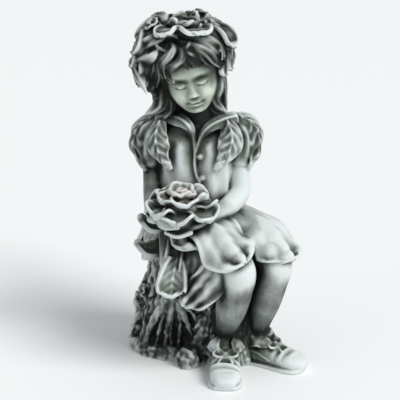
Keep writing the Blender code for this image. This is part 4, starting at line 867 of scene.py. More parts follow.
def model_hair(clay):
    """A full cap of leafy locks, wider on her right, a fringe, and long hair down her neck."""
    up = head_frame() @ np.array([0, 0, 1.0])
    clay.ball(in_head((-0.9, -3.2, 2.0)), (10.2, 8.6, 7.6), axis=up)
    clay.ball(in_head((0, 0.0, 4.6)), (7.2, 7.6, 5.4), axis=up)
    rng = random.Random(7)
    share = np.linspace(0, 1, 6)
    middle = np.array(HEAD_AT)
    coarse = Lines()
    # Each tier of locks: count, rise at the root and at the tip, and how far it stands out.
    tiers = [(13, 66, 22, 0.05), (16, 44, -2, 0.05), (18, 20, -22, 0.0)]
    for tier, (count, top, bottom, out) in enumerate(tiers):
        for k in range(count):
            turn = 60 + 240 * (k + 0.5 * (tier % 2)) / (count - 0.5) + rng.uniform(-4, 4)
            across = math.sin(math.radians(turn))
            lifted = bottom + (14 * max(0.0, across) + 20 * max(0.0, -across)) * (tier == 2)
            full = 1.38 + out + 0.24 * max(0.0, -across) ** 2 + 0.07 * (k % 2)
            full = full + rng.uniform(-0.03, 0.03)
            bend = rng.choice((-1, 1)) * rng.uniform(9, 16)
            rise = top + (lifted + rng.uniform(-9, 9) - top) * share
            reach = full * (0.83 + 0.2 * np.sin(0.5 * math.pi * share) + 0.09 * share**3)
            path = scalp(turn + bend * np.sin(2.2 * math.pi * share + tier), rise, reach)
            lock(coarse, path, rng.uniform(1.5, 2.3), path[3] - middle)
    coarse.sweep(clay, depth_share=0.78, strands=2.0, strand_depth=0.24, twist=4.0)
    fringe = Lines()
    # The fringe and the locks at the temples: how far each stands out and its half width, then the
    # turn and rise of each of its points.
    for out, width, *places in [
        (1.42, 1.8, (14, 68), (34, 54), (50, 38), (60, 22), (64, 8), (76, -12)),
        (1.33, 1.6, (-6, 64), (10, 54), (28, 42), (42, 27), (49, 12), (66, -6)),
        (1.52, 1.5, (40, 64), (58, 46), (62, 30), (52, 14)),
        (1.5, 1.9, (64, 44), (78, 26), (70, 10), (82, -4)),
        (1.24, 1.35, (0, 58), (5, 45), (15, 30), (27, 17)),
        (1.27, 1.3, (14, 56), (23, 42), (34, 27), (44, 10)),
        (1.22, 1.3, (-12, 56), (-7, 44), (2, 31), (10, 19)),
        (1.3, 1.4, (-14, 60), (-6, 50), (-2, 41), (-8, 32), (-19, 27), (-28, 19), (-24, 6)),
        (1.34, 1.4, (-27, 60), (-19, 49), (-27, 38), (-38, 27), (-34, 12)),
        (1.35, 1.55, (-38, 60), (-43, 45), (-53, 30), (-48, 12), (-54, -2)),
        (1.43, 1.7, (-50, 58), (-61, 38), (-58, 20), (-66, 2), (-62, -14)),
        (1.54, 1.5, (-42, 64), (-54, 52), (-67, 38), (-72, 22)),
        (1.58, 1.7, (-88, 56), (-80, 40), (-66, 27), (-70, 8), (-78, -4)),
        (1.5, 1.7, (-94, 34), (-84, 16), (-72, 0), (-79, -14)),
        (1.42, 1.5, (-76, 22), (-66, 4), (-71, -12), (-64, -20)),
    ]:
        turn, rise = spline(places, 12).T
        along = np.linspace(0, 1, 12)
        reach = out * (0.88 + 0.14 * np.sin(0.62 * math.pi * along))
        path = scalp(turn, rise, reach)
        lock(fringe, path, 0.82 * width, path[6] - middle)
        # Fine strands that run along the lock.
        for aside in (-5.0, 5.0):
            drift = aside + 3.0 * np.sin(2.0 * math.pi * along + aside + out * 9)
            lock(fringe, scalp(turn + drift, rise, reach + 0.05), 0.5, path[6] - middle)
    fringe.sweep(clay, depth_share=0.95, strands=1.5, strand_depth=0.2, twist=3.0)
    long_locks = Lines()
    # Locks that fall beside the cheeks and turn out on the shoulders.
    for spine, facing, width in [
        (
            [(-13.2, -3.0, 83.5), (-13.6, -4.4, 78.6), (-14.4, -4.4, 74.8), (-18.2, -2.6, 71.8)],
            (-0.6, -1, 0.2), 2.3,
        ),
        (
            [(-12.8, -0.6, 82.0), (-13.0, -2.4, 77.0), (-12.6, -3.4, 73.4), (-15.4, -3.6, 70.8)],
            (-0.4, -1, 0.2), 2.1,
        ),
        (
            [(-11.4, -4.4, 80.0), (-11.2, -5.0, 76.4), (-11.6, -4.6, 73.4), (-13.0, -4.6, 71.0)],
            (-0.3, -1, 0.2), 1.4,
        ),
        (
            [(1.6, -3.2, 86.0), (1.7, -4.0, 80.5), (0.8, -4.2, 76.0), (4.6, -2.6, 71.8)],
            (0.6, -1, 0.2), 1.8,
        ),
        (
            [(0.9, -1.2, 83.0), (0.6, -2.6, 78.0), (-0.2, -3.2, 74.5), (2.0, -3.0, 71.2)],
            (0.4, -1, 0.2), 1.6,
        ),
    ]:
        lock(long_locks, spine, width, facing)
    # Locks that hang down the back, from her left side round to her right.
    count, first_turn, pitch = 13, 92, 14.6
    for k in range(count):
        turn = first_turn + pitch * k
        t = math.radians(turn)
        wave = 1.0 if k % 2 else -1.0
        path = [scalp(turn, 22, 1.06), scalp(turn + 6 * wave, -30, 1.12)]
        ragged = 1.7 * (k % 3)
        # How wide and deep the hair is down the back, where its middle lies, and how the lock sways.
        for wide, deep, back, high, sway in [
            (7.6, 3.8, 4.6, 72.0, 0.2),
            (8.4, 4.4, 5.0, 66.0 + ragged, -0.1),
            (8.9, 5.0, 5.0, 62.6 + ragged, 0.1),
        ]:
            x = -4.8 + wide * math.sin(t + sway * wave)
            path.append(np.array([x, back - deep * math.cos(t), high]))
        lock(long_locks, path, 2.3, (math.sin(t), -math.cos(t), 0.1))
    long_locks.sweep(clay, depth_share=0.66, strands=2.5, strand_depth=0.2, twist=4.0)
    clay.limb([(-5.4, 2.6, 80.0, 8.0, 6.0), (-4.8, 3.4, 72.0, 7.0, 4.4), (-4.8, 3.8, 66.0, 7.4, 3.4)])


def petal_shape(tilt, length, width, curl, radius, phase):
    """One petal of a rose as an object, standing on the origin and bowing towards +Y."""
    clay = Clay()
    out, up = np.array([0, 1.0, 0]), np.array([0, 0, 1.0])
    spine = [out * radius * 0.05]
    for more, part in ((-14, 0.34), (4, 0.28), (curl * 0.5, 0.22), (curl, 0.16)):
        lean = math.radians(more)
        spine.append(spine[-1] + (out * math.sin(lean) + up * math.cos(lean)) * length * radius * part)
    clay.sheet(
        spine,
        -out,
        width * radius,
        shape=(0.4, 0.66, 2.4),
        cup=0.75 - 0.5 * tilt / 90,
        ruffle=0.06 * radius * (0.4 + tilt / 60),
        waves=1.4,
        thick=max(0.06 * radius + 0.3, 0.65),
        phase=phase,
        flutes=0.016 * radius,
        lip=0.2,
        rows=30,
        cols=19,
    )
    return clay.keep("petal")


def model_rose(clay, centre, axis, radius, tiers, seed):
    """An open rose.

    Each tier gives its count of petals, their tilt, length, width, curl, first turn and height.
    """
    heart = bpy.data.objects.new("rose", bpy.data.meshes.new("rose"))
    bpy.context.scene.collection.objects.link(heart)
    rng = random.Random(seed)
    for tier, (count, tilt, length, width, curl, first, low) in enumerate(tiers):
        pair = [petal_shape(tilt, length, width, curl, radius, rng.uniform(0, 6)) for _ in range(2)]
        run_nodes(
            heart,
            petal_tier_tree(),
            petals=count,
            petal=pair[0],
            other_petal=pair[1],
            first_turn=math.radians(first),
            tilt=math.radians(tilt),
            height=low * radius,
            seed=seed + 50 * tier,
        )
        for obj in pair:
            bpy.data.objects.remove(obj)
    up = unit(axis)
    ahead = unit(np.array([0, -1.0, 0]) - up * (up @ np.array([0, -1.0, 0])))
    clay.adopt(heart.data, np.stack([np.cross(ahead, up), ahead, up], axis=1), centre)
    bpy.data.objects.remove(heart)


def model_wreath(clay):
    """The large rose on the head, with leaves and small blossoms round it."""
    tiers = [
        (3, 8, 0.42, 0.32, -8, 20, 0.06),
        (4, 34, 0.58, 0.44, 24, 70, 0.03),
        (5, 64, 0.74, 0.5, 30, 10, 0.0),
        (6, 88, 0.9, 0.5, 44, 32, -0.02),
    ]
    model_rose(clay, (-7.4, -4.8, 92.8), (-0.04, -0.2, 0.98), 9.6, tiers, 5)
    # Leaves under the rose: turn, rise at the tip, reach, half width, and how pointed they are.
    for turn, rise, reach, width, point in [
        (62, 26, 1.54, 1.9, 1.3),
        (82, 12, 1.66, 2.3, 1.3),
        (106, 20, 1.62, 2.8, 1.3),
        (138, 20, 1.5, 3.0, 1.2),
        (166, 24, 1.48, 3.0, 1.2),
        (-164, 20, 1.5, 3.2, 1.2),
        (-134, 24, 1.56, 3.0, 1.2),
        (-106, 22, 1.66, 3.0, 1.3),
    ]:
        spine = [
            scalp(turn - 6, 66, 1.12),
            scalp(turn - 2, 0.62 * 66 + 0.38 * rise, reach * 0.93),
            scalp(turn + 3, 0.28 * 66 + 0.72 * rise, reach),
            scalp(turn + 7, rise, reach * 1.02),
        ]
        outward = spine[2] - np.array(HEAD_AT)
        clay.sheet(
            spine,
            outward,
            width,
            shape=(0.4, 0.55, point),
            cup=-0.3,
            ruffle=0.55,
            waves=2.2,
            veins=0.3,
            flutes=0.3,
            phase=0.1 * turn,
        )
    # Broad petals that spread over the brow from under the rose.
    for spine, facing, width, phase in [
        (
            [(-9.6, -7.0, 94.6), (-11.0, -9.8, 95.8), (-12.2, -12.0, 95.8), (-12.6, -14.0, 94.4)],
            (-0.3, -0.4, 1), 3.2, 0.4,
        ),
        (
            [(-5.4, -8.0, 94.4), (-4.7, -10.8, 95.8), (-4.1, -13.0, 96.0), (-3.4, -15.0, 95.0)],
            (0.1, -0.4, 1), 4.5, 2.2,
        ),
        (
            [(-1.5, -5.4, 94.8), (1.6, -7.6, 95.8), (3.9, -9.4, 94.4), (5.0, -10.6, 91.4)],
            (0.5, -0.4, 1), 2.8, 4.0,
        ),
    ]:
        shape = (0.7, 0.55, 2.4)
        clay.sheet(
            spine,
            facing,
            width,
            shape,
            cup=0.05,
            ruffle=0.1,
            waves=1.2,
            roll=0.75,
            phase=phase,
            thick=1.1,
            lip=0.35,
            rows=60,
            cols=35,
        )
    tiers = [(3, 12, 0.8, 0.5, 10, 0, 0.0), (5, 60, 1.1, 0.55, 30, 40, -0.1)]
    # The small blossoms: turn, rise and size.
    for turn, rise, size in [
        (-98, 46, 2.4),
        (-112, 32, 2.4),
        (-92, 60, 2.3),
        (140, 44, 2.4),
        (-146, 44, 2.6),
        (88, 46, 2.0),
    ]:
        at = scalp(turn, rise, 1.46 + (0.14 if turn < 0 else 0.0))
        model_rose(clay, at, at - np.array(HEAD_AT), size, tiers, int(turn) + 200)


def model_blouse(clay):
    """The blouse: its folds, the open collar with its piping, and the placket with two buttons."""

    def folds(share, angle):
        """Two broad soft folds down the front, fine upright wrinkles, and gathers at the back."""
        across = np.cos(angle)
        front = np.clip(np.sin(angle), 0, 1) ** 0.5
        soft = 0.95 * np.exp(-(((across + 0.37 + 0.04 * np.sin(5 * share)) / 0.17) ** 2))
        soft = soft + 0.85 * np.exp(-(((across - 0.34 - 0.05 * np.sin(4 * share)) / 0.16) ** 2))
        soft = soft + 0.5 * np.exp(-(((across - 0.78) / 0.1) ** 2))
        soft = soft + 0.45 * np.exp(-(((across + 0.82) / 0.1) ** 2))
        soft = soft * front * step(share, 0.3, 0.5) * step(0.88 - share, 0, 0.2)
        fine = 0.22 * np.sin(12 * angle + 2.2 * np.sin(7 * share))
        fine = fine * step(share, 0.25, 0.4) * step(0.85 - share, 0, 0.15)
        behind = np.clip(-np.sin(angle), 0, 1) ** 0.5
        gathers = 0.42 * np.sin(15 * angle + 1.5 * np.sin(6 * share))
        gathers = gathers * behind * step(0.8 - share, 0, 0.45)
        return soft + fine + gathers

    clay.limb(TORSO, sides=110, rows=90, carve=folds, square=TORSO_SQUARENESS)
    left_edge = [
        (-12.4, -2.4, 71.4), (-9.0, -5.4, 71.3),
        (-6.4, -6.8, 69.6), chest(-5.2, 66.6, 0.8), chest(-4.8, 63.6, 0.4),
    ]
    right_edge = [
        (6.8, -2.0, 71.2), (2.9, -4.6, 70.7),
        (-0.8, -6.4, 69.2), chest(-3.0, 66.4, 0.8), chest(-4.4, 63.2, 0.4),
    ]
    cords = Lines()
    for edge, facing in ((left_edge, (-0.45, -0.8, 0.7)), (right_edge, (0.45, -0.8, 0.7))):
        clay.sheet(edge, facing, 2.0, shape=(0.8, 0.25, 0.9), cup=-0.4, ruffle=0.15, thick=1.0)
        cords.add([np.array(p) + (0, -0.5, 0.3) for p in edge[:4]] + [chest(-4.6, 62.4, 0.4)], 0.5)
    placket = [(-4.7, 62.4, 0.4), (-4.7, 59.0, 0.3), (-4.2, 56.0, 0.3), (-3.2, 53.8, 0.3)]
    cords.add([chest(*place) for place in placket], 0.46)
    hem = [chest(x, 47.6 + 0.4 * math.sin(1.1 * x), 0.2) for x in np.linspace(-13.6, 4.6, 12)]
    cords.add(hem, 0.55)
    back_seam = [(-4.5, TORSO[k][1] + TORSO[k][4] + 0.15, TORSO[k][2]) for k in (2, 3, 4, 5)]
    cords.add(back_seam, 0.4, (0, 1, 0.1))
    cords.sweep(clay, rows=30, sides=12, depth_share=1.0, strand_depth=0.0)
    for z, x in ((61.1, -3.3), (55.3, -2.6)):
        clay.ball(chest(x, z, 0.3), (0.9, 0.9, 0.55), axis=(0, -1, 0))
    collar = [
        (4.4, 3.2, 70.6), (0.4, 6.4, 70.4), (-4.4, 7.4, 70.2), (-9.2, 6.4, 70.4), (-13.0, 3.2, 70.6),
    ]
    # The collar stands round the back of the neck.
    clay.sheet(collar, (0, 0.6, 0.8), 2.0, shape=(0.8, 0.5, 3.0), cup=-0.3, ruffle=0.15, thick=1.0)


def model_sleeves(clay):
    """Puffed sleeves, each under an outer leaf, a leaf at the front of the shoulder and one behind."""
    for side, x in ((-1, -15.8), (1, 7.0)):

        def pleats(share, angle):
            """Gathers that run down the puff."""
            return 0.34 * np.cos(9 * angle + 1.5 * share) * np.sin(math.pi * np.clip(share, 0, 1))

        puff = [
            (x - side * 1.5, 0.4, 69.0, 2.4, 2.8),
            (x + side * 0.8, 0.2, 66.2, 3.8, 4.4),
            (x + side * 1.2, 0.0, 62.0, 3.8, 4.6),
            (x + side * 0.8, -0.3, 58.6, 3.1, 3.5),
        ]
        clay.limb(puff, sides=70, rows=40, carve=pleats)
    leaf = {
        "shape": (0.45, 0.5, 1.2),
        "cup": -0.3,
        "ruffle": 0.5,
        "waves": 3.5,
        "thick": 1.0,
        "veins": 0.5,
        "rows": 60,
        "cols": 35,
    }
    outer_left = [(-15.6, 0.2, 70.6), (-19.8, -0.8, 67.6), (-21.0, -1.6, 62.4), (-18.0, -2.4, 56.0)]
    outer_right = [(6.8, 0.2, 70.8), (11.2, -0.8, 68.2), (12.4, -1.6, 62.8), (10.0, -2.4, 56.4)]
    front_left = [(-14.0, -4.0, 70.4), (-15.0, -7.4, 66.6), (-13.8, -8.7, 62.4), (-11.0, -8.8, 58.2)]
    front_right = [(4.0, -4.0, 70.4), (5.2, -7.4, 66.6), (3.9, -8.9, 62.4), (0.6, -9.0, 58.0)]
    for spine, facing, width, phase in (
        (outer_left, (-1, -0.7, 0.2), 4.4, 0.0),
        (outer_right, (1, -0.7, 0.2), 4.4, 1.0),
        (front_left, (-0.25, -1, 0.1), 3.3, 2.0),
        (front_right, (0.2, -1, 0.1), 3.6, 3.0),
    ):
        clay.sheet(spine, facing, width, phase=phase, **leaf)
    for side, x in ((-1, -15.2), (1, 6.4)):
        spine = [
            (x, 3.6, 70.6), (x + side * 2.6, 6.0, 66.5), (x + side * 2.4, 6.4, 62),
            (x - side * 0.5, 6.2, 57.8),
        ]
        clay.sheet(spine, (side * 0.4, 1, 0.1), 3.8, **leaf)


def finger(clay, points):
    """One finger, tapering to its tip."""
    radius = 0.72
    line = spline(points, 7)
    taper = np.linspace(1.0, 0.78, 7)
    stations = [(*p, radius * t, radius * t) for p, t in zip(line, taper)]
    clay.limb(stations, (0.1, -0.5, 1), sides=16, rows=20, blunt=1.0)


def model_arms(clay):
    """Bare arms bent forward, and the hands under the rose."""
    right = [
        (-15.6, 0.5, 66.0, 3.2, 3.2),
        (-16.2, 0.2, 60.0, 2.9, 2.9),
        (-16.4, -0.2, 54.0, 2.6, 2.7),
        (-16.4, -1.2, 49.4, 2.6, 2.8),
        (-16.2, -5.5, 46.8, 2.4, 2.4),
        (-15.9, -10.5, 46.2, 2.0, 2.0),
        (-15.4, -13.8, 46.6, 1.7, 1.7),
    ]
    left = [
        (6.6, 0.6, 66.0, 3.2, 3.2),
        (7.6, 0.2, 60.0, 3.0, 3.0),
        (7.8, -0.6, 54.0, 2.8, 2.9),
        (7.5, -2.0, 49.4, 2.9, 3.0),
        (4.6, -6.4, 47.2, 2.7, 2.7),
        (0.8, -11.2, 46.2, 2.3, 2.3),
        (-2.4, -14.6, 45.6, 1.9, 1.9),
    ]
    for stations in (right, left):
        clay.limb(stations, (0.0, -0.6, 1.0), sides=56, rows=90)
    palm = [(-2.2, -14.4, 45.6, 1.9, 1.5), (-4.6, -16.4, 45.0, 2.3, 1.3), (-7.4, -17.8, 44.6, 2.3, 1.2)]
    clay.limb(palm, (0, 0.2, 1))
    for k in range(4):
        drop = 1.25 * k
        spread = [(-5.8, -16.8 - drop, 45.0 - 0.3 * k), (-9.2, -17.8 - 0.8 * drop, 44.6 - 0.5 * k)]
        finger(clay, [*spread, (-12.2, -17.6 - 0.7 * drop, 45.2 - 0.4 * k)])
    finger(clay, [(-2.6, -16.6, 46.0), (-2.7, -19.0, 47.0), (-3.4, -21.0, 47.9)])
    palm = [
        (-15.4, -13.4, 46.6, 1.9, 1.5), (-15.4, -15.8, 47.0, 2.2, 1.3), (-14.6, -17.8, 47.2, 2.1, 1.1),
    ]
    clay.limb(palm, (-0.5, 0, 1))
    for k in range(4):
        root = (-15.9 + 0.7 * k, -17.0 - 0.5 * k, 47.9 - 0.8 * k)
        knuckle = (-14.2 + 0.7 * k, -19.6 - 0.3 * k, 47.8 - 0.8 * k)
        finger(clay, [root, knuckle, (-11.4 + 0.8 * k, -20.8, 48.0 - 0.8 * k)])
    finger(clay, [(-16.8, -13.6, 47.2), (-17.6, -15.8, 48.4), (-16.9, -17.4, 49.8)])


def model_held_rose(clay):
    """The open rose that she holds up in both hands."""
    tiers = [
        (3, 8, 0.6, 0.24, -4, 30, 0.04),
        (4, 28, 0.7, 0.36, 24, 80, 0.02),
        (5, 54, 0.88, 0.46, 32, 20, -0.04),
        (6, 78, 1.02, 0.5, 30, 0, -0.08),
    ]
    model_rose(clay, (-8.4, -16.6, 49.4), (0.02, -0.12, 0.99), 9.0, tiers, 3)
    clay.limb([(-8.4, -16.6, 45.4, 3.4, 3.4), (-8.4, -17.0, 49.6, 4.8, 4.8)], (0, -1, 0))


def model_skirt(clay):
    """The lap and hips, and the petals that hang from the waist over them."""
    lap = [
        (-9.0, 5.5, 39.0, 8.0, 6.8), (-3.5, -5.5, 38.6, 7.0, 6.0), (2.0, -13.0, 37.0, 5.8, 5.2),
        (6.2, -17.4, 34.6, 4.8, 4.4),
    ]
    clay.limb(lap, (0, 0, 1))
    far_lap = [
        (-1.0, 7.0, 39.0, 8.0, 6.8), (7.0, -1.0, 38.6, 7.0, 6.0), (13.0, -8.0, 37.0, 5.8, 5.2),
        (17.4, -12.2, 35.0, 4.8, 4.6),
    ]
    clay.limb(far_lap, (0, 0, 1))
    between = [(-4.0, 2.0, 34.0, 9.0, 9.0), (2.0, -4.0, 34.0, 9.0, 8.0), (8.0, -9.0, 33.0, 6.0, 4.0)]
    clay.limb(between, (0, 0, 1))
    over_knee = ((0.1, -0.4, 1), (0.2, -0.6, 1), (0.35, -0.85, 0.5))
    hanging = ((0.2, -1, 0.3), (0.1, -1, 0.2), (-0.2, -1, 0.1), (-0.5, -1, -0.2))
    petals = [
        # Spine, facing, half width, shape, cup, ruffle, waves of the rim, roll of the rim.
        (
            [
                (1.0, 4.4, 44.6), (9.0, -1.5, 44.2), (15.6, -8.6, 42.2),
                (19.4, -13.6, 38.4), (21.2, -15.6, 34.6),
            ],
            (0.5, -0.6, 1), 8.4, (0.6, 0.72, 3.4), -0.48, 1.1, 2.2, 0.6,
        ),
        (
            [
                (-3.4, -4.0, 46.4), (-1.2, -11.0, 45.4), (1.8, -17.0, 43.2),
                (5.0, -21.0, 39.8), (7.8, -22.5, 36.0),
            ],
            over_knee, 8.2, (0.75, 0.72, 3.0), -0.38, 1.4, 2.2, 0.7,
        ),
        (
            [(-7.0, -4.0, 45.5), (-6.0, -10.0, 43.8), (-4.6, -15.4, 42.0), (-3.6, -18.8, 39.2)],
            (0, -0.6, 1), 7.0, (0.75, 0.6, 3.0), -0.3, 0.6, 2.0, 0.5,
        ),
        (
            [
                (3.6, -14.4, 40.4), (2.6, -19.0, 36.0), (0.0, -20.8, 31.4),
                (-3.6, -20.6, 27.0), (-6.8, -18.6, 23.4),
            ],
            hanging, 4.8, (0.7, 0.6, 2.6), -0.28, 1.3, 1.8, 0.6,
        ),
        (
            [(-5.0, -10.0, 42.0), (-5.0, -15.0, 37.0), (-5.8, -17.4, 31.6), (-7.2, -17.6, 26.4)],
            (-0.3, -1, 0.2), 3.4, (0.7, 0.5, 2.4), 0.12, 0.5, 1.4, 0.3,
        ),
        (
            [(-7.4, -9.5, 42.0), (-7.8, -14.6, 37.0), (-8.6, -16.6, 31.5), (-9.2, -17.0, 25.4)],
            (0, -1, 0.2), 4.9, (0.8, 0.5, 2.4), -0.12, 0.5, 1.6, 0.35,
        ),
        (
            [(-11.5, -5.0, 36.0), (-15.6, -5.8, 34.4), (-18.8, -4.6, 34.2), (-21.4, -2.8, 35.6)],
            (0.2, -0.6, 0.8), 3.2, (0.8, 0.4, 1.2), 0.35, 0.4, 1.6, 0.2,
        ),
        (
            [(-12.0, -7.5, 42.8), (-15.2, -7.8, 41.8), (-17.8, -6.2, 42.2), (-20.2, -4.4, 43.8)],
            (0.2, -0.6, 0.8), 3.0, (0.8, 0.4, 1.3), 0.35, 0.4, 1.6, 0.3,
        ),
        (
            [(-13.0, 2.0, 42.5), (-16.0, 1.6, 38.4), (-18.0, 1.2, 33.4), (-18.6, 0.8, 29.4)],
            (-1, -0.4, 0.3), 5.4, (0.7, 0.6, 2.0), -0.3, 0.6, 2.0, 0.4,
        ),
        (
            [(-9.6, 7.0, 46.4), (-14.4, 12.0, 40.4), (-17.4, 15.0, 33.4), (-18.2, 15.8, 27.0)],
            (-0.7, 0.8, 0.3), 6.4, (0.7, 0.6, 2.0), -0.3, 0.7, 2.0, 0.4,
        ),
        (
            [(-4.5, 7.6, 47.2), (-5.0, 14.6, 41.2), (-5.6, 18.2, 33.6), (-6.0, 19.2, 26.0)],
            (0, 1, 0.3), 7.4, (0.7, 0.6, 2.0), -0.25, 0.8, 2.0, 0.4,
        ),
        (
            [(0.6, 7.0, 46.8), (5.6, 12.4, 41.2), (8.4, 14.8, 34.4), (8.8, 15.2, 27.6)],
            (0.7, 0.8, 0.3), 6.4, (0.7, 0.6, 2.0), -0.3, 0.7, 2.0, 0.4,
        ),
        (
            [(6.0, 4.0, 44.0), (11.0, 4.8, 40.6), (12.8, 4.6, 34.6), (12.6, 4.0, 28.6)],
            (1, 0.3, 0.3), 6.4, (0.7, 0.6, 2.0), -0.3, 0.7, 2.0, 0.4,
        ),
        (
            [(9.0, -2.0, 42.0), (13.6, -4.0, 38.0), (15.6, -5.6, 33.0), (15.2, -6.0, 29.0)],
            (1, 0.2, 0.3), 5.4, (0.7, 0.6, 2.0), -0.3, 0.7, 2.0, 0.4,
        ),
    ]
    for k, (spine, facing, width, shape, cup, ruffle, waves, roll) in enumerate(petals):
        clay.sheet(
            spine,
            facing,
            width,
            shape,
            cup,
            ruffle,
            waves,
            roll,
            thick=1.0,
            phase=0.9 * k,
            veins=0.14,
            flutes=0.42,
            lip=0.6,
            rows=80,
            cols=49,
        )
    # The end of a petal that turns up into a rounded bowl, and the folds behind it.
    bowl = [
        (-9.6, -15.4, 35.2), (-10.1, -16.8, 32.8), (-10.6, -17.9, 30.4), (-10.9, -18.6, 28.2),
        (-11.0, -19.9, 26.4), (-11.0, -21.4, 26.2),
    ]
    ways = ((0.05, -1, 0.2), (0.05, -1, 0.4), (0, -0.75, 0.8), (0, -0.5, 1))
    clay.sheet(
        bowl,
        ways,
        4.4,
        shape=(0.5, 0.6, 2.3),
        cup=0.42,
        ruffle=0.25,
        waves=1.0,
        roll=0.1,
        thick=1.0,
        veins=0.3,
        lip=0.35,
        rows=80,
        cols=49,
    )
    folds = [(-7.6, -8.0, 39.0, 7.0, 5.0), (-8.6, -12.0, 31.0, 5.6, 4.4), (-8.8, -13.0, 26.0, 4.2, 3.2)]
    clay.limb(folds, (0, -1, 0.3))


def model_legs(clay):
    """Bare legs, drawn back towards the stump."""
    right = [
        (-3.0, -6.0, 38.0, 5.6, 5.2),
        (3.6, -15.0, 35.6, 5.0, 4.8),
        (6.8, -18.2, 32.4, 4.9, 4.8),
        (6.4, -16.6, 27.0, 4.7, 4.7),
        (5.4, -13.4, 20.6, 4.3, 4.5),
        (4.4, -9.4, 14.0, 3.2, 3.5),
        (3.9, -6.8, 9.4, 2.6, 2.8),
        (3.9, -5.8, 5.0, 2.6, 2.8),
    ]
    left = [
        (7.0, -1.0, 38.0, 5.6, 5.2),
        (13.8, -10.4, 36.0, 5.0, 4.8),
        (17.0, -13.4, 33.0, 4.7, 4.7),
        (16.2, -12.4, 27.0, 4.3, 4.5),
        (14.9, -9.6, 20.4, 4.0, 4.3),
        (13.6, -6.2, 13.6, 3.1, 3.4),
        (13.4, -4.4, 9.4, 2.6, 2.8),
        (13.2, -4.0, 5.0, 2.6, 2.8),
    ]
    for stations in (right, left):
        clay.limb(stations, (0.5, -1.0, 0.3), sides=64, rows=100)


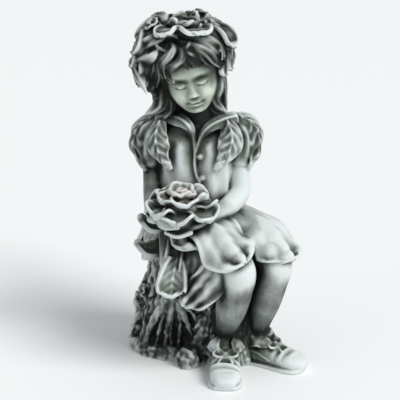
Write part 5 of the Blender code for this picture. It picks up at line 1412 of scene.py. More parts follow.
def model_shoe(clay, heel, heading, ankle, length=20.0):
    """A low laced shoe from its heel along a heading in degrees from +X, and its ankle's collar."""
    turn = math.radians(heading)
    ahead = np.array([math.cos(turn), math.sin(turn), 0.0]) * length / 20
    aside = np.array([-math.sin(turn), math.cos(turn), 0.0])
    heel = np.array([*heel, 0.0])
    ankle = np.array(ankle)

    def at(f, s, z):
        """A point f ahead of the heel, s aside and z up."""
        return heel + ahead * f + aside * s + np.array([0, 0, z])

    def creases(share, angle):
        """Wrinkles across the vamp, where the shoe bends, and softer ones at the heel."""
        top = np.clip(np.sin(angle), 0, 1) ** 0.6
        bend = np.exp(-(((share - 0.63) / 0.13) ** 2)) * np.sin(58 * share + 1.3 * np.cos(angle))
        back = np.exp(-(((share - 0.2) / 0.12) ** 2)) * np.sin(46 * share + 2.0 * np.cos(2 * angle))
        cap = np.exp(-(((share - 0.8) / 0.025) ** 2)) * top
        return 0.42 * bend * top + 0.24 * back + 0.3 * cap

    upper = [
        (0.6, 3.4, 2.6, 3.4),
        (3.0, 4.2, 3.3, 4.4),
        (6.0, 4.3, 3.5, 4.5),
        (9.0, 3.7, 3.7, 3.7),
        (12.0, 3.0, 4.0, 2.9),
        (15.2, 2.5, 4.3, 2.5),
        (18.2, 2.1, 4.0, 2.2),
        (20.0, 1.8, 3.0, 1.8),
    ]
    stations = [(*at(f, 0, z), w, h) for f, z, w, h in upper]
    clay.limb(stations, (0, 0, 1), sides=60, rows=90, carve=creases, square=2.3, blunt=0.7)
    sole = [(0.0, 2.7), (5.0, 3.6), (10.0, 4.0), (15.4, 4.8), (18.6, 4.4), (20.2, 3.3)]
    stations = [(*at(f, 0, 0), w, 1.25) for f, w in sole]
    clay.limb(stations, (0, 0, 1), sides=60, rows=60, square=5, blunt=0.5)
    seams = Lines()
    arch = np.radians(np.linspace(-84, 84, 9))
    for back, wide, high in ((14.0, 4.2, 2.6), (15.2, 4.25, 2.55)):
        seam = [
            at(back - 1.2 * math.cos(a), wide * math.sin(a), 2.4 + high * math.cos(a)) for a in arch
        ]
        seams.add(seam, 0.32)
    for s in (-1, 1):
        quarter = [(0.0, 2.4, 2.2), (3.0, 3.5, 4.6), (7.0, 3.7, 4.2), (11.0, 3.9, 2.6)]
        facing_edge = [(7.2, 3.1, 6.6), (9.4, 2.7, 6.2), (11.6, 2.3, 5.4), (13.2, 1.9, 4.9)]
        seams.add([at(f, s * aside_by, z) for f, aside_by, z in quarter], 0.32)
        seams.add([at(f, s * aside_by, z) for f, aside_by, z in facing_edge], 0.34)
    for k in range(4):
        f, z = 7.6 + 1.5 * k, 8.2 - 0.85 * k
        for cross in (-1, 1):
            lace = [
                at(f - 0.7 * cross, -2.1, z - 0.6),
                at(f, 0, z + 0.35),
                at(f + 0.7 * cross, 2.1, z - 0.6),
            ]
            seams.add(lace, 0.38, (0, 0, 1))
    for s in (-1, 1):
        bow = [(11.0, 0, 6.5), (9.9, 2.0, 7.5), (11.1, 3.3, 6.5), (12.1, 1.6, 6.1), (11.1, 0, 6.4)]
        seams.add([at(f, s * aside_by, z) for f, aside_by, z in bow], 0.44, (0, 0, 1))
        seams.add([at(11.0, 0, 6.5), at(12.6, s * 1.1, 5.9), at(14.2, s * 2.0, 5.2)], 0.4, (0, 0, 1))
    seams.sweep(clay, rows=26, sides=12, depth_share=1.0, strand_depth=0.0)
    clay.ball(at(11.0, 0, 6.6), (0.75, 0.75, 0.6))
    collar = []
    for a in np.radians(np.linspace(0, 360, 13)):
        place = ankle + 3.4 * (unit(ahead) * math.cos(a) + aside * math.sin(a))
        collar.append((*(place + (0, 0, 0.7 * math.cos(a) ** 2 + 0.3)), 0.85, 1.1))

    def gathered(share, angle):
        """Small gathers round the collar."""
        return 0.16 * np.sin(60 * share + angle)

    clay.limb(collar, (0, 0, 1), sides=18, rows=80, carve=gathered)
    for s in (-1, 1):
        flap = [(4.0, 3.0, 7.0), (6.2, 3.7, 8.5), (8.6, 3.3, 8.0), (10.6, 2.2, 6.3)]
        flap = [at(f, s * aside_by, z) for f, aside_by, z in flap]
        facing = s * aside * 0.8 + np.array([0, 0, 0.8])
        clay.sheet(flap, facing, 2.3, shape=(0.7, 0.4, 1.6), cup=-0.3, ruffle=0.3, thick=0.9, lip=0.5)
    tongue = [at(5.4, 0, 8.2), at(8.2, 0, 8.0), at(10.4, 0, 6.3), at(12.4, 0, 5.3)]
    clay.sheet(tongue, (0, 0, 1), 1.7, shape=(0.9, 0.4, 3), cup=-0.2, ruffle=0.1, thick=0.9)


def trunk(clay, profile, rows, sides):
    """An upright trunk that opens into the swell of its roots near the ground."""
    x, y, z, wide, deep = spline(profile, rows).T[:, :, None]
    angle = np.linspace(0, 2 * math.pi, sides, endpoint=False)[None, :]
    c, s = np.cos(angle), np.sin(angle)
    skin = np.stack([x + wide * c, y + deep * s, z + 0 * angle], axis=2)
    # Its skin swells and sinks, more so towards the ground.
    low = 1 - step(z, 2.0, 22.0)
    swells = 1 - np.abs(grain(skin, 5, (0.42, 0.42, 0.06)))
    hollows = grain(skin, 8, (0.3, 0.3, 0.2))
    relief = (0.7 + 1.2 * low) * swells**2 + 0.6 * hollows - 0.6
    out = np.stack([c + 0 * z, s + 0 * z, 0 * z + 0 * angle], axis=2)
    clay.tube(skin + out * relief[..., None])


def roughened(clay, forms, **inputs):
    """Adds forms to the clay with a rough, broken surface."""
    obj = forms.keep("rough")
    clay.adopt(run_nodes(obj, rough_bark_tree(), **inputs))
    bpy.data.objects.remove(obj)


def rock(clay, at, radii, seed, facets=0.1):
    """A rough lump of stone."""
    around = np.linspace(0, 2 * math.pi, 72, endpoint=False)
    tall, around = np.meshgrid(np.radians(np.linspace(-88, 88, 52)), around, indexing="ij")
    level = np.cos(tall)
    ball = np.stack([level * np.cos(around), level * np.sin(around), np.sin(tall)], axis=2)
    rough = 1 + 0.1 * grain(ball, seed, (2.0, 2.0, 2.0))
    rough = rough - facets * np.abs(grain(ball, 9 + seed, (3.4, 3.4, 3.4)))
    rough = rough + 0.035 * grain(ball, 21 + seed, (9.0, 9.0, 9.0))
    clay.tube(np.array(at) + ball * np.array(radii) * rough[..., None])


def model_stump(clay):
    """The tree stump, its bark and roots, and the ground that it stands in."""
    wood = Clay()
    profile = [
        (-9.2, 11.4, -3.0, 13.8, 10.4),
        (-9.2, 11.2, 1.0, 14.0, 10.6),
        (-9.2, 10.6, 4.0, 13.4, 10.2),
        (-9.1, 9.6, 8.0, 12.4, 9.9),
        (-9.0, 8.8, 13.0, 11.4, 9.8),
        (-8.8, 8.0, 20.0, 10.4, 9.8),
        (-8.6, 7.4, 28.0, 9.8, 9.9),
        (-8.4, 7.0, 37.0, 10.0, 10.0),
    ]
    trunk(wood, profile, 150, 300)
    # The side of the stump that fills the space behind the calves.
    flank = [
        (3.6, -2.6, -3.0, 11.0, 5.8),
        (3.8, -2.8, 3.0, 10.6, 5.6),
        (5.0, -3.2, 10.0, 9.2, 5.2),
        (6.4, -4.2, 18.0, 8.8, 5.0),
        (7.6, -5.2, 26.0, 8.6, 5.4),
        (8.0, -6.0, 33.0, 8.8, 6.0),
    ]
    trunk(wood, flank, 110, 190)
    # What joins the two into one stump.
    core = [
        (-0.6, 4.4, -3.0, 10.6, 7.6), (-0.4, 4.2, 8.0, 9.8, 7.2), (0.2, 3.4, 20.0, 9.4, 7.0),
        (0.4, 2.6, 34.0, 9.2, 6.6),
    ]
    trunk(wood, core, 110, 170)
    middle = np.array([-9.2, 10.4, 0.0])
    roots = Lines()
    # Roots that stand clear of the bark: where they run out, how far, how thick, how they wander.
    for turn, length, size, wander in [
        (196, 14.0, 2.3, 0.8),
        (219, 14.4, 1.7, -1.2),
        (238, 13.8, 1.9, 1.4),
        (259, 13.4, 1.5, -1.6),
        (283, 13.2, 1.8, 1.2),
        (158, 13.6, 2.5, 0.9),
        (128, 13.6, 2.2, -0.9),
        (104, 13.6, 2.4, -0.8),
        (76, 13.6, 2.1, 0.8),
        (52, 13.8, 2.4, 0.7),
        (18, 14.2, 2.4, 0.8),
    ]:
        t = math.radians(turn)
        out = np.array([math.cos(t), math.sin(t) * 0.76, 0])
        aside = np.array([-math.sin(t), math.cos(t), 0])
        root = [
            middle + out * (length * 0.62) + aside * 1.4 * wander + (0, 0, 25),
            middle + out * (length * 0.72) - aside * wander + (0, 0, 17),
            middle + out * (length * 0.82) + aside * wander + (0, 0, 9.6),
            middle + out * (length * 0.94) - aside * wander + (0, 0, 4.0),
            middle + out * (length * 1.02) + (0, 0, -0.4),
        ]
        roots.add(root, np.array([0.35, 0.65, 0.85, 1.0, 1.0]) * size, (math.cos(t), math.sin(t), 0.5))
    roots.sweep(wood, rows=50, sides=36, depth_share=0.9, strands=1.5, strand_depth=0.2, twist=9.0)
    rng = random.Random(12)
    # Knots on the bark.
    for k in range(18):
        turn, high = math.radians(rng.uniform(110, 300)), rng.uniform(2.5, 26.0)
        reach = 0.97 - 0.22 * high / 26
        at = middle + (13.6 * reach * math.cos(turn), 10.4 * reach * math.sin(turn) - 0.1 * high, high)
        size = rng.uniform(1.4, 2.3)
        rock(wood, at, (size, size, size * rng.uniform(1.0, 1.6)), 30 + k)
    roughened(clay, wood, depth=0.78, scale=0.36, stretch=0.3, seed=2.0)
    # Bare roots that run down the front of the stump from under the skirt: size and path.
    bare_roots = Lines()
    for size, path in [
        (
            1.5,
            [
                (-12.4, 0, 21), (-13.4, -0.8, 17), (-15.4, -1.0, 13), (-17.4, -0.2, 8.8),
                (-19.4, 0.4, 3.0),
            ],
        ),
        (0.8, [(-12.2, -0.4, 19), (-12.9, -1.2, 15.6), (-14.2, -1.4, 11.2), (-16.2, -1.8, 2.8)]),
        (
            1.2,
            [
                (-11.6, -0.4, 20), (-11.4, -1.2, 16.6), (-12, -1.6, 12), (-12.8, -1.9, 7.4),
                (-13.6, -2.6, 2.4),
            ],
        ),
        (0.9, [(-11.0, -0.6, 19), (-10.0, -1.3, 15.4), (-8.9, -1.8, 11.0), (-9.6, -2.8, 2.4)]),
        (
            1.1,
            [
                (-10.6, -0.6, 18), (-8.8, -1.6, 14.6), (-7, -2.2, 11.4), (-5.4, -2.8, 7.8),
                (-3.8, -3.6, 3.0),
            ],
        ),
        (0.7, [(-9.6, -1.2, 17.6), (-7.4, -2.0, 15.4), (-5.2, -2.6, 13.6), (-1.6, -3.6, 7.0)]),
        (0.6, [(-11.4, -0.8, 17), (-11.0, -1.5, 12.4), (-11.8, -2.2, 8.0), (-11.4, -3.0, 2.4)]),
    ]:
        bare_roots.add(path, np.linspace(1.1, 0.6, len(path)) * size, (0, -1, 0.2))
    bare = Clay()
    bare_roots.sweep(
        bare, rows=40, sides=24, depth_share=1.0, strands=1.0, strand_depth=0.12, twist=7.0
    )
    roughened(clay, bare, depth=0.26, scale=0.6, stretch=0.3, seed=5.0)
    # The rock, the stones at the foot of the stump and the earth under the heels: place and radii.
    stones = Clay()
    for k, (at, radii) in enumerate(
        [
            ((-19.8, 8.6, 1.6), (3.6, 4.4, 3.4)),
            ((-16.2, 3.8, 2.0), (6.0, 4.0, 5.6)),
            ((-10.6, 2.4, 2.0), (5.6, 3.8, 5.0)),
            ((-4.6, -1.2, 2.0), (4.4, 3.2, 5.0)),
            ((-6.8, -7.2, 1.6), (3.8, 3.7, 3.7)),
            ((1.0, -1.0, 1.0), (8.6, 6.4, 4.6)),
            ((8.0, -1.0, 0.6), (7.0, 5.0, 3.2)),
        ]
    ):
        rock(stones, at, radii, 3 + k, 0.11)
    roughened(clay, stones, depth=0.3, scale=0.3, stretch=0.9, seed=7.0)
    # The low shelf of ground round the foot of the stump.
    ground = Clay()
    shelf = [(-21.4, 7.6, 0.4, 3.6, 3.2), (-16.6, 2.8, 0.6, 4.6, 3.5), (-10.6, 0.0, 0.6, 4.4, 3.4)]
    ground.limb([*shelf, (-4.6, -1.4, 0.4, 3.4, 2.8)], (0, 0, 1), sides=72, rows=70, square=3.6)
    roughened(clay, ground, depth=0.5, scale=0.34, stretch=0.9, seed=7.0)


def model_shoes(clay):
    """Both shoes: one pointing ahead, and one turned out to her left."""
    model_shoe(clay, (4.2, -3.2), -92.0, (3.9, -6.1, 8.2))
    model_shoe(clay, (8.8, -2.0), -27.0, (13.2, -4.2, 8.2), 18.6)


def keep_form(name, model):
    """Models one group of forms and leaves it as form_<name>, for the casting to take in."""
    clay = Clay()
    model(clay)
    if not clay.faces:
        raise RuntimeError(f"nothing was modelled for {name}")
    clay.keep("form_" + name)
    return {"FINISHED"}


class STATUE_OT_model_head(Operator):
    """Models the face, skull and neck"""

    bl_idname = "statue.model_head"
    bl_label = "Head"
    bl_options = {"REGISTER", "UNDO"}

    def execute(self, context):
        return keep_form("head", model_head)


class STATUE_OT_model_hair(Operator):
    """Models the cap of locks, the fringe and the long hair"""

    bl_idname = "statue.model_hair"
    bl_label = "Hair"
    bl_options = {"REGISTER", "UNDO"}

    def execute(self, context):
        return keep_form("hair", model_hair)


class STATUE_OT_model_wreath(Operator):
    """Models the crown rose, its leaves and small blossoms"""

    bl_idname = "statue.model_wreath"
    bl_label = "Wreath"
    bl_options = {"REGISTER", "UNDO"}

    def execute(self, context):
        return keep_form("wreath", model_wreath)


class STATUE_OT_model_blouse(Operator):
    """Models the blouse, its collar and buttons"""

    bl_idname = "statue.model_blouse"
    bl_label = "Blouse"
    bl_options = {"REGISTER", "UNDO"}

    def execute(self, context):
        return keep_form("blouse", model_blouse)


class STATUE_OT_model_sleeves(Operator):
    """Models the puffed sleeves and their leaves"""

    bl_idname = "statue.model_sleeves"
    bl_label = "Sleeves"
    bl_options = {"REGISTER", "UNDO"}

    def execute(self, context):
        return keep_form("sleeves", model_sleeves)


class STATUE_OT_model_arms(Operator):
    """Models the arms and the fingers"""

    bl_idname = "statue.model_arms"
    bl_label = "Arms and hands"
    bl_options = {"REGISTER", "UNDO"}

    def execute(self, context):
        return keep_form("arms", model_arms)


class STATUE_OT_model_held_rose(Operator):
    """Models the open rose"""

    bl_idname = "statue.model_held_rose"
    bl_label = "Rose in her hands"
    bl_options = {"REGISTER", "UNDO"}

    def execute(self, context):
        return keep_form("held_rose", model_held_rose)


class STATUE_OT_model_skirt(Operator):
    """Models the lap and the petals of the skirt"""

    bl_idname = "statue.model_skirt"
    bl_label = "Petal skirt"
    bl_options = {"REGISTER", "UNDO"}

    def execute(self, context):
        return keep_form("skirt", model_skirt)


class STATUE_OT_model_legs(Operator):
    """Models the legs"""

    bl_idname = "statue.model_legs"
    bl_label = "Legs"
    bl_options = {"REGISTER", "UNDO"}

    def execute(self, context):
        return keep_form("legs", model_legs)


class STATUE_OT_model_shoes(Operator):
    """Models the laced shoes"""

    bl_idname = "statue.model_shoes"
    bl_label = "Shoes"
    bl_options = {"REGISTER", "UNDO"}

    def execute(self, context):
        return keep_form("shoes", model_shoes)


class STATUE_OT_model_stump(Operator):
    """Models the tree stump, its roots and the rock"""

    bl_idname = "statue.model_stump"
    bl_label = "Stump"
    bl_options = {"REGISTER", "UNDO"}

    def execute(self, context):
        return keep_form("stump", model_stump)


FORMS = [
    STATUE_OT_model_head,
    STATUE_OT_model_hair,
    STATUE_OT_model_wreath,
    STATUE_OT_model_blouse,
    STATUE_OT_model_sleeves,
    STATUE_OT_model_arms,
    STATUE_OT_model_held_rose,
    STATUE_OT_model_skirt,
    STATUE_OT_model_legs,
    STATUE_OT_model_shoes,
    STATUE_OT_model_stump,
]


def applied(obj, kind, **settings):
    """Gives the object a modifier and applies it."""
    modifier = obj.modifiers.new(kind.title(), kind)
    for name, value in settings.items():
        setattr(modifier, name, value)
    bpy.context.view_layer.objects.active = obj
    bpy.ops.object.modifier_apply(modifier=modifier.name)


def keep_largest(obj):
    """Deletes the skins of hollows that the forms closed off inside."""
    bpy.ops.object.select_all(action="DESELECT")
    obj.select_set(True)
    bpy.context.view_layer.objects.active = obj
    bpy.ops.object.mode_set(mode="EDIT")
    bpy.ops.mesh.select_all(action="SELECT")
    bpy.ops.mesh.separate(type="LOOSE")
    bpy.ops.object.mode_set(mode="OBJECT")
    shells = sorted(bpy.context.selected_objects, key=lambda o: len(o.data.vertices))
    for shell in shells[:-1]:
        bpy.data.objects.remove(shell)
    return shells[-1]


def cut_flat(mesh):
    """Cuts a closed mesh off level with the ground and closes the cut."""
    form = bmesh.new()
    form.from_mesh(mesh)
    every = form.verts[:] + form.edges[:] + form.faces[:]
    plane = {"plane_co": (0, 0, 0), "plane_no": (0, 0, 1)}
    cut = bmesh.ops.bisect_plane(form, geom=every, clear_inner=True, **plane)
    rim = [item for item in cut["geom_cut"] if isinstance(item, bmesh.types.BMEdge)]
    bmesh.ops.triangle_fill(form, use_beauty=True, use_dissolve=False, edges=rim, normal=(0, 0, -1))
    bmesh.ops.recalc_face_normals(form, faces=form.faces[:])
    form.to_mesh(mesh)
    form.free()


def read_mesh(mesh):
    """Points, normals and edges of a mesh as arrays."""
    points = np.empty(3 * len(mesh.vertices))
    mesh.vertices.foreach_get("co", points)
    normals = np.empty(3 * len(mesh.vertices))
    mesh.vertex_normals.foreach_get("vector", normals)
    edges = np.empty(2 * len(mesh.edges), int)
    mesh.edges.foreach_get("vertices", edges)
    return points.reshape(-1, 3), normals.reshape(-1, 3), edges.reshape(-1, 2)


def averaged(values, edges, passes):
    """Each vertex's value, averaged with its neighbours' over and over."""
    count = np.maximum(np.bincount(edges.ravel(), minlength=len(values)), 1)
    for _ in range(passes):
        total = np.stack(
            [
                np.bincount(edges[:, 0], column[edges[:, 1]], len(values))
                + np.bincount(edges[:, 1], column[edges[:, 0]], len(values))
                for column in values.T
            ],
            axis=1,
        )
        values = 0.5 * values + 0.5 * total / count[:, None]
    return values


def openness(mesh, points, normals, reach):
    """How much of the space over each vertex is open, from 0 in a deep crack to 1 on an open face."""
    rays, golden_turn, clear_of_skin = 18, 2.399963, 0.0006
    tree = BVHTree.FromPolygons(points.tolist(), [tuple(face.vertices) for face in mesh.polygons])
    turns = [golden_turn * k for k in range(rays)]
    rises = [math.sqrt((k + 0.5) / rays) for k in range(rays)]
    helper = np.where(np.abs(normals[:, 2:]) < 0.9, [[0.0, 0.0, 1.0]], [[1.0, 0.0, 0.0]])
    side = unit(np.cross(normals, helper))
    other = np.cross(normals, side)
    start = points + normals * clear_of_skin
    found = np.zeros(len(points))
    for turn, rise in zip(turns, rises):
        flat = rise * (side * math.cos(turn) + other * math.sin(turn))
        ways = flat + normals * math.sqrt(max(1 - rise * rise, 0.0))
        for k, (origin, way) in enumerate(zip(start.tolist(), ways.tolist())):
            gap = tree.ray_cast(origin, way, reach)[3]
            found[k] += 1.0 if gap is None else (gap / reach) ** 0.6
    return found / rays


def store(mesh, name, values):
    """Keeps one number for each vertex as an attribute."""
    attribute = mesh.attributes.get(name) or mesh.attributes.new(name, "FLOAT", "POINT")
    attribute.data.foreach_set("value", np.asarray(values, np.float32))


def mark_wear_and_painted_shading(mesh, height):
    """Stores where the wash gathers and where it is rubbed off, where shade and light are painted in,
    and where the stone is tinted.
    """
    points, normals, edges = read_mesh(mesh)
    scale = height / 100
    fine = averaged(points, edges, 5)
    broad = averaged(fine, edges, 30)
    crest_height, swell_height, shelter = 0.11 * scale, 0.42 * scale, 7.0 * scale
    crest = ((points - fine) * normals).sum(axis=1) / crest_height
    swell = ((points - broad) * normals).sum(axis=1) / swell_height
    relief = np.clip(0.5 + 0.16 * crest + 0.12 * swell, 0, 1)
    store(mesh, "relief", averaged(relief[:, None], edges, 1)[:, 0])
    # Painted shade, along with the dark wash: darker where the casting's own forms close over the
    # stone.
    open_sky = openness(mesh, points, normals, shelter)
    store(mesh, "open_sky", averaged(open_sky[:, None], edges, 2)[:, 0])
    middle = np.array([*MIDDLE, 0.0])

    def nearness(place, inner, outer):
        """1 near a place of the modelling frame and 0 away from it."""
        gap = np.linalg.norm(points / scale + middle - np.array(place), axis=1)
        return 1 - step(gap, inner, outer)

    face = nearness(in_head((0.0, 7.5, -2.5)), 6.0, 9.5)
    store(mesh, "blush", nearness((-8.8, -17.2, 53.4), 1.5, 6.4))
    store(mesh, "skin", face)
    wash_and_painted_shade = 0.0
    # Where the tone is darkened, by the dark wash and by painted shade, and where it is lightened,
    # by rubbed stone and by painted light: place, inner and outer reach, amount.
    for place, inner, outer, amount in [
        (in_head((0.0, -2.0, 2.0)), 13.0, 19.0, 0.65),
        (in_head((-5.0, 4.0, 0.0)), 4.0, 10.0, 1.0),
        # Painted shade on the fringe and forehead, under the wreath.
        (in_head((1.0, 8.0, 5.0)), 3.0, 8.0, 1.15),
        ((-7.0, -8.0, 94.5), 5.0, 12.0, -0.35),
        ((-12.6, -3.0, 76.0), 2.0, 6.0, 0.3),
        # Painted shade on the blouse and sleeves under the shoulder leaves.
        ((-4.0, -5.5, 67.0), 3.0, 13.0, 0.6),
        ((-16.5, -2.0, 62.5), 5.0, 10.0, 0.65),
        ((9.0, -2.0, 64.0), 4.0, 9.0, 0.52),
        # Painted light on her left upper arm, where the sleeve casts its shadow.
        ((6.6, -3.5, 52.6), 3.0, 9.0, -1.1),
        ((-8.6, -17.5, 53.0), 2.0, 8.0, -0.65),
        ((-9.0, -8.0, 36.0), 4.0, 11.0, 1.1),
        ((-11.2, -19.5, 28.6), 2.5, 5.0, -0.15),
        ((-3.0, -20.5, 26.5), 3.0, 7.5, 0.3),
        ((4.4, -18.6, 41.4), 3.0, 8.0, -0.3),
        ((19.0, -10.0, 40.5), 4.0, 10.0, -0.3),
        ((10.0, -12.0, 20.0), 11.5, 17.0, 0.8),
        ((16.0, -8.0, 2.0), 4.0, 9.0, 0.25),
        ((-9.0, 2.0, 12.0), 9.0, 18.0, 0.28),
        # Painted shade on the low shelf at the foot of the stump.
        ((-12.0, -2.0, 0.0), 8.0, 14.0, 0.75),
        ((-6.8, -8.0, 2.0), 3.0, 6.0, 0.25),
    ]:
        wash_and_painted_shade = wash_and_painted_shade + amount * nearness(place, inner, outer)
    store(mesh, "wash_and_painted_shade", np.clip(wash_and_painted_shade * (1 - face), -1.1, 1.8))


def stone_material(finish):
    """Cast stone with an antique finish and painted shade and light, from the casting's marks and noise
    in the stone.
    """
    material = bpy.data.materials.new("Antique cast stone with painted shade")
    material.use_nodes = True
    nodes, links = material.node_tree.nodes, material.node_tree.links
    shader = nodes["Principled BSDF"]

    def add(kind, *values, out=0, **settings):
        """Adds a node and feeds its open inputs in order."""
        node = nodes.new(kind)
        for label, value in settings.items():
            setattr(node, label, value)
        sockets = [s for s in node.inputs if not s.is_unavailable]
        for socket, value in zip(sockets, values):
            if isinstance(value, bpy.types.NodeSocket):
                links.new(value, socket)
            elif value is not None:
                socket.default_value = value
        return [s for s in node.outputs if not s.is_unavailable][out]

    def mark(name):
        """One of the casting's marks."""
        return add("ShaderNodeAttribute", attribute_name=name, out=2)

    def noise(scale, detail, rough):
        """Noise of a scale in the stone, from 0 to 1."""
        return add("ShaderNodeTexNoise", place, scale, detail, rough)

    def sums(operation, *values, clamp=False):
        """A sum of two or three numbers."""
        return add("ShaderNodeMath", *values, operation=operation, use_clamp=clamp)

    def blend(share, first, second, kind="MIX"):
        """A blend of two colours."""
        node = nodes.new("ShaderNodeMix")
        node.data_type = "RGBA"
        node.blend_type = kind
        feeds = {0: share, 6: first, 7: second}
        for index, value in feeds.items():
            if isinstance(value, bpy.types.NodeSocket):
                links.new(value, node.inputs[index])
            else:
                node.inputs[index].default_value = value
        return node.outputs[2]

    place = add("ShaderNodeTexCoord", out=3)
    relief, open_sky = mark("relief"), mark("open_sky")
    mottle = noise(26.0, 5.0, 0.62)
    speckle = noise(420.0, 3.0, 0.7)
    streak = noise(9.0, 3.0, 0.5)
    # The tone starts dark, and rises where the stone lies open, so that shade is painted in where the
    # casting's own forms close over it, and where it stands proud, as rubbed stone.
    darkest, from_open, from_proud = -0.86, 1.1, 0.86
    tone = sums("MULTIPLY_ADD", open_sky, from_open, darkest)
    tone = sums("MULTIPLY_ADD", relief, from_proud, tone)
    # Noise of three sizes breaks it up.
    for pattern, amount in ((mottle, 0.40), (streak, 0.25), (speckle, 0.20)):
        tone = sums("MULTIPLY_ADD", sums("SUBTRACT", pattern, 0.5), amount, tone)
    skin = mark("skin")
    tone = sums("MULTIPLY_ADD", skin, -0.10, tone)
    # The wash and painted shade darken the tone, most in the hollows and less on what stands proud;
    # below zero the same mark is painted light.
    taken, spared = -0.75, 0.45
    hold = sums("MULTIPLY_ADD", relief, spared, taken)
    tone = sums("MULTIPLY_ADD", mark("wash_and_painted_shade"), hold, tone)
    ramp = nodes.new("ShaderNodeValToRGB")
    links.new(tone, ramp.inputs[0])
    stops = ramp.color_ramp.elements
    dark, middle, light = (np.array(c) for c in (finish.wash_and_painted_shade, finish.body, finish.rubbed_and_painted_light))
    colours = [
        (0.10, dark),
        (0.30, 0.72 * dark + 0.28 * middle),
        (0.52, middle),
        (0.72, 0.55 * middle + 0.45 * light),
        (0.95, light),
    ]
    while len(stops) < len(colours):
        stops.new(0.5)
    for stop, (position, colour) in zip(stops, colours):
        stop.position = position
        stop.color = (*colour, 1.0)
    # Smooth skin has a green cast.
    greener = blend(1.0, ramp.outputs[0], (0.98, 1.05, 0.86, 1.0), "MULTIPLY")
    colour = blend(sums("MULTIPLY", skin, 0.7), ramp.outputs[0], greener)
    # The held rose has a faint warm tint at its heart, on what stands proud.
    proud = sums("MULTIPLY_ADD", relief, 0.9, -0.1, clamp=True)
    heart = sums("MULTIPLY", sums("MULTIPLY", mark("blush"), proud, clamp=True), 0.5)
    colour = blend(heart, colour, (*finish.blush, 1.0))
    # Patches of moss tint lie in the hollows.
    mossy = sums("MULTIPLY", sums("GREATER_THAN", noise(14.0, 3.0, 0.6), 0.56), 0.16)
    mossy = sums("MULTIPLY", mossy, sums("SUBTRACT", 1.0, relief), clamp=True)
    colour = blend(mossy, colour, (*finish.moss, 1.0))
    links.new(colour, shader.inputs["Base Color"])
    rough = sums("MULTIPLY_ADD", relief, -0.16, 0.9)
    rough = sums("MULTIPLY_ADD", sums("SUBTRACT", mottle, 0.5), 0.12, rough, clamp=True)
    links.new(rough, shader.inputs["Roughness"])
    shader.inputs["Specular IOR Level"].default_value = 0.34
    sand = sums("MULTIPLY_ADD", noise(900.0, 2.0, 0.6), 0.5, sums("MULTIPLY", speckle, 0.5))
    pores = add("ShaderNodeTexVoronoi", place, 260.0)
    pores = add("ShaderNodeMapRange", pores, 0.0, 0.24, 0.0, 1.0)
    fine = nodes.new("ShaderNodeBump")
    fine.inputs["Strength"].default_value = 0.32
    fine.inputs["Distance"].default_value = 0.0008
    links.new(sand, fine.inputs["Height"])
    deep = nodes.new("ShaderNodeBump")
    deep.inputs["Strength"].default_value = 0.3
    deep.inputs["Distance"].default_value = 0.0009
    links.new(pores, deep.inputs["Height"])
    links.new(fine.outputs[0], deep.inputs["Normal"])
    links.new(deep.outputs[0], shader.inputs["Normal"])
    return material


class STATUE_OT_cast(Operator):
    """Fuses all the forms into one casting at its real size, weathers it, and gives it its finish with
    painted shade and light
    """

    bl_idname = "statue.cast"
    bl_label = "Cast the statue"
    bl_options = {"REGISTER", "UNDO"}

    def execute(self, context):
        sizes, finish = context.scene.statue_sizes, context.scene.statue_finish
        clay = Clay()
        forms = [obj for obj in context.scene.objects if obj.name.startswith("form_")]
        if len(forms) < len(FORMS):
            raise RuntimeError("model every group of forms before casting")
        for form in forms:
            clay.adopt(form.data)
            bpy.data.objects.remove(form)
        scale = sizes.height / 100
        mesh = bpy.data.meshes.new(PIECE)
        points = (np.array(clay.points) - np.array([*MIDDLE, 0.0])) * scale
        mesh.from_pydata(points.tolist(), [], clay.faces)
        obj = bpy.data.objects.new(PIECE, mesh)
        context.scene.collection.objects.link(obj)
        applied(obj, "REMESH", mode="VOXEL", voxel_size=sizes.detail * sizes.height, adaptivity=0.0)
        obj = keep_largest(obj)
        obj.name = obj.data.name = PIECE
        applied(obj, "SMOOTH", factor=0.5, iterations=2)
        ratio = sizes.triangles / (2 * len(obj.data.polygons))
        if ratio < 1:
            applied(obj, "DECIMATE", ratio=ratio, use_collapse_triangulate=True)
        cut_flat(obj.data)
        material = stone_material(finish)
        run_nodes(
            obj,
            weathered_skin_tree(),
            grain_depth=finish.grain_depth,
            pit_depth=finish.pit_depth,
            material=material,
        )
        mesh = obj.data
        mesh.name = PIECE
        mark_wear_and_painted_shading(mesh, sizes.height)
        mesh.polygons.foreach_set("use_smooth", np.ones(len(mesh.polygons), bool))
        mesh.materials.clear()
        mesh.materials.append(material)
        mesh.update()
        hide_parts(CAD_NODE)
        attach(obj, "root")
        return {"FINISHED"}


def plain_material(name, colour, roughness):
    """A plain studio surface."""
    material = bpy.data.materials.new(name)
    material.use_nodes = True
    shader = material.node_tree.nodes["Principled BSDF"]
    shader.inputs["Base Color"].default_value = (*colour, 1.0)
    shader.inputs["Roughness"].default_value = roughness
    shader.inputs["Specular IOR Level"].default_value = 0.2
    return material


def aimed(obj, place, target):
    """Puts a camera or light at a place, looking at a target."""
    obj.location = place
    obj.rotation_mode = "QUATERNION"
    obj.rotation_quaternion = (Vector(target) - Vector(place)).to_track_quat("-Z", "Y")
    bpy.context.scene.collection.objects.link(obj)


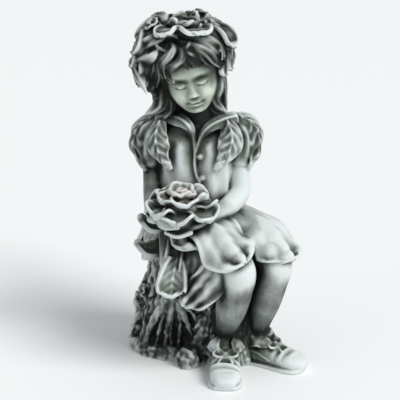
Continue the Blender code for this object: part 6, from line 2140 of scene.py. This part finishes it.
class STATUE_OT_stage(Operator):
    """Lays the pale floor, sets the soft lights and places the camera"""

    bl_idname = "statue.stage"
    bl_label = "Set the studio"
    bl_options = {"REGISTER", "UNDO"}

    def execute(self, context):
        scene, studio = context.scene, context.scene.statue_studio
        scale = scene.statue_sizes.height / 100
        mesh = bpy.data.meshes.new("floor")
        half_side, drop = 16.0, 0.0004
        corners = [(-1, -1), (1, -1), (1, 1), (-1, 1)]
        corners = [(half_side * x, half_side * y, -drop) for x, y in corners]
        mesh.from_pydata(corners, [], [(0, 1, 2, 3)])
        floor = bpy.data.objects.new("floor", mesh)
        scene.collection.objects.link(floor)
        mesh.materials.append(plain_material("Pale floor", studio.floor, 0.9))
        floor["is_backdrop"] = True
        middle = Vector((0.0, 0.0, 0.5 * scene.statue_sizes.height))
        key = bpy.data.lights.new("key_light", "SUN")
        key.angle = math.radians(32)
        key.energy = studio.key_strength
        aimed(bpy.data.objects.new("key_light", key), (2.0, -1.7, 2.6), middle)
        fill = bpy.data.lights.new("fill_light", "AREA")
        fill.shape = "DISK"
        fill.size = 1.8
        fill.energy = studio.fill_power
        aimed(bpy.data.objects.new("fill_light", fill), (-2.2, -1.6, 1.2), middle)
        world = bpy.data.worlds.new("Studio sky")
        world.use_nodes = True
        world.node_tree.nodes["Background"].inputs["Color"].default_value = (0.96, 0.98, 1.0, 1.0)
        world.node_tree.nodes["Background"].inputs["Strength"].default_value = studio.sky
        scene.world = world
        camera = bpy.data.objects.new("camera", bpy.data.cameras.new("camera"))
        camera.data.sensor_width = 36
        camera.data.lens = studio.lens
        camera.data.clip_end = 100
        # The point that the camera looks at, in the modelling frame.
        look_at = Vector((-3.28 - MIDDLE[0], -6.0 - MIDDLE[1], 48.7)) * scale
        back = Vector((0, -math.cos(studio.elevation), math.sin(studio.elevation)))
        aimed(camera, look_at + back * studio.distance, look_at)
        scene.camera = camera
        scene.view_settings.view_transform = "Standard"
        return {"FINISHED"}


class STATUE_PT_panel(Panel):
    """Sizes, finish and steps of the garden statue"""

    bl_idname = "STATUE_PT_panel"
    bl_label = "Garden statue"
    bl_space_type = "VIEW_3D"
    bl_region_type = "UI"
    bl_category = "Statue"

    def draw(self, context):
        layout, scene = self.layout, context.scene
        for group in (scene.statue_sizes, scene.statue_finish, scene.statue_studio):
            box = layout.box()
            for name in group.__annotations__:
                box.prop(group, name)
        for operator in [*FORMS, STATUE_OT_cast, STATUE_OT_stage]:
            layout.operator(operator.bl_idname)


CLASSES = [
    StatueSizes, StatueFinish, StudioSettings, *FORMS, STATUE_OT_cast, STATUE_OT_stage, STATUE_PT_panel,
]


def register():
    """Registers the add-on's classes and settings."""
    for kind in CLASSES:
        bpy.utils.register_class(kind)
    bpy.types.Scene.statue_sizes = PointerProperty(type=StatueSizes)
    bpy.types.Scene.statue_finish = PointerProperty(type=StatueFinish)
    bpy.types.Scene.statue_studio = PointerProperty(type=StudioSettings)


def unregister():
    """Removes the add-on's classes and settings."""
    for name in ("statue_sizes", "statue_finish", "statue_studio"):
        delattr(bpy.types.Scene, name)
    for kind in reversed(CLASSES):
        bpy.utils.unregister_class(kind)


def main():
    """Models every form, casts the statue and sets the studio."""
    register()
    bpy.ops.statue.model_head()
    bpy.ops.statue.model_hair()
    bpy.ops.statue.model_wreath()
    bpy.ops.statue.model_blouse()
    bpy.ops.statue.model_sleeves()
    bpy.ops.statue.model_arms()
    bpy.ops.statue.model_held_rose()
    bpy.ops.statue.model_skirt()
    bpy.ops.statue.model_legs()
    bpy.ops.statue.model_shoes()
    bpy.ops.statue.model_stump()
    bpy.ops.statue.cast()
    bpy.ops.statue.stage()


if __name__ == "__main__":
    main()
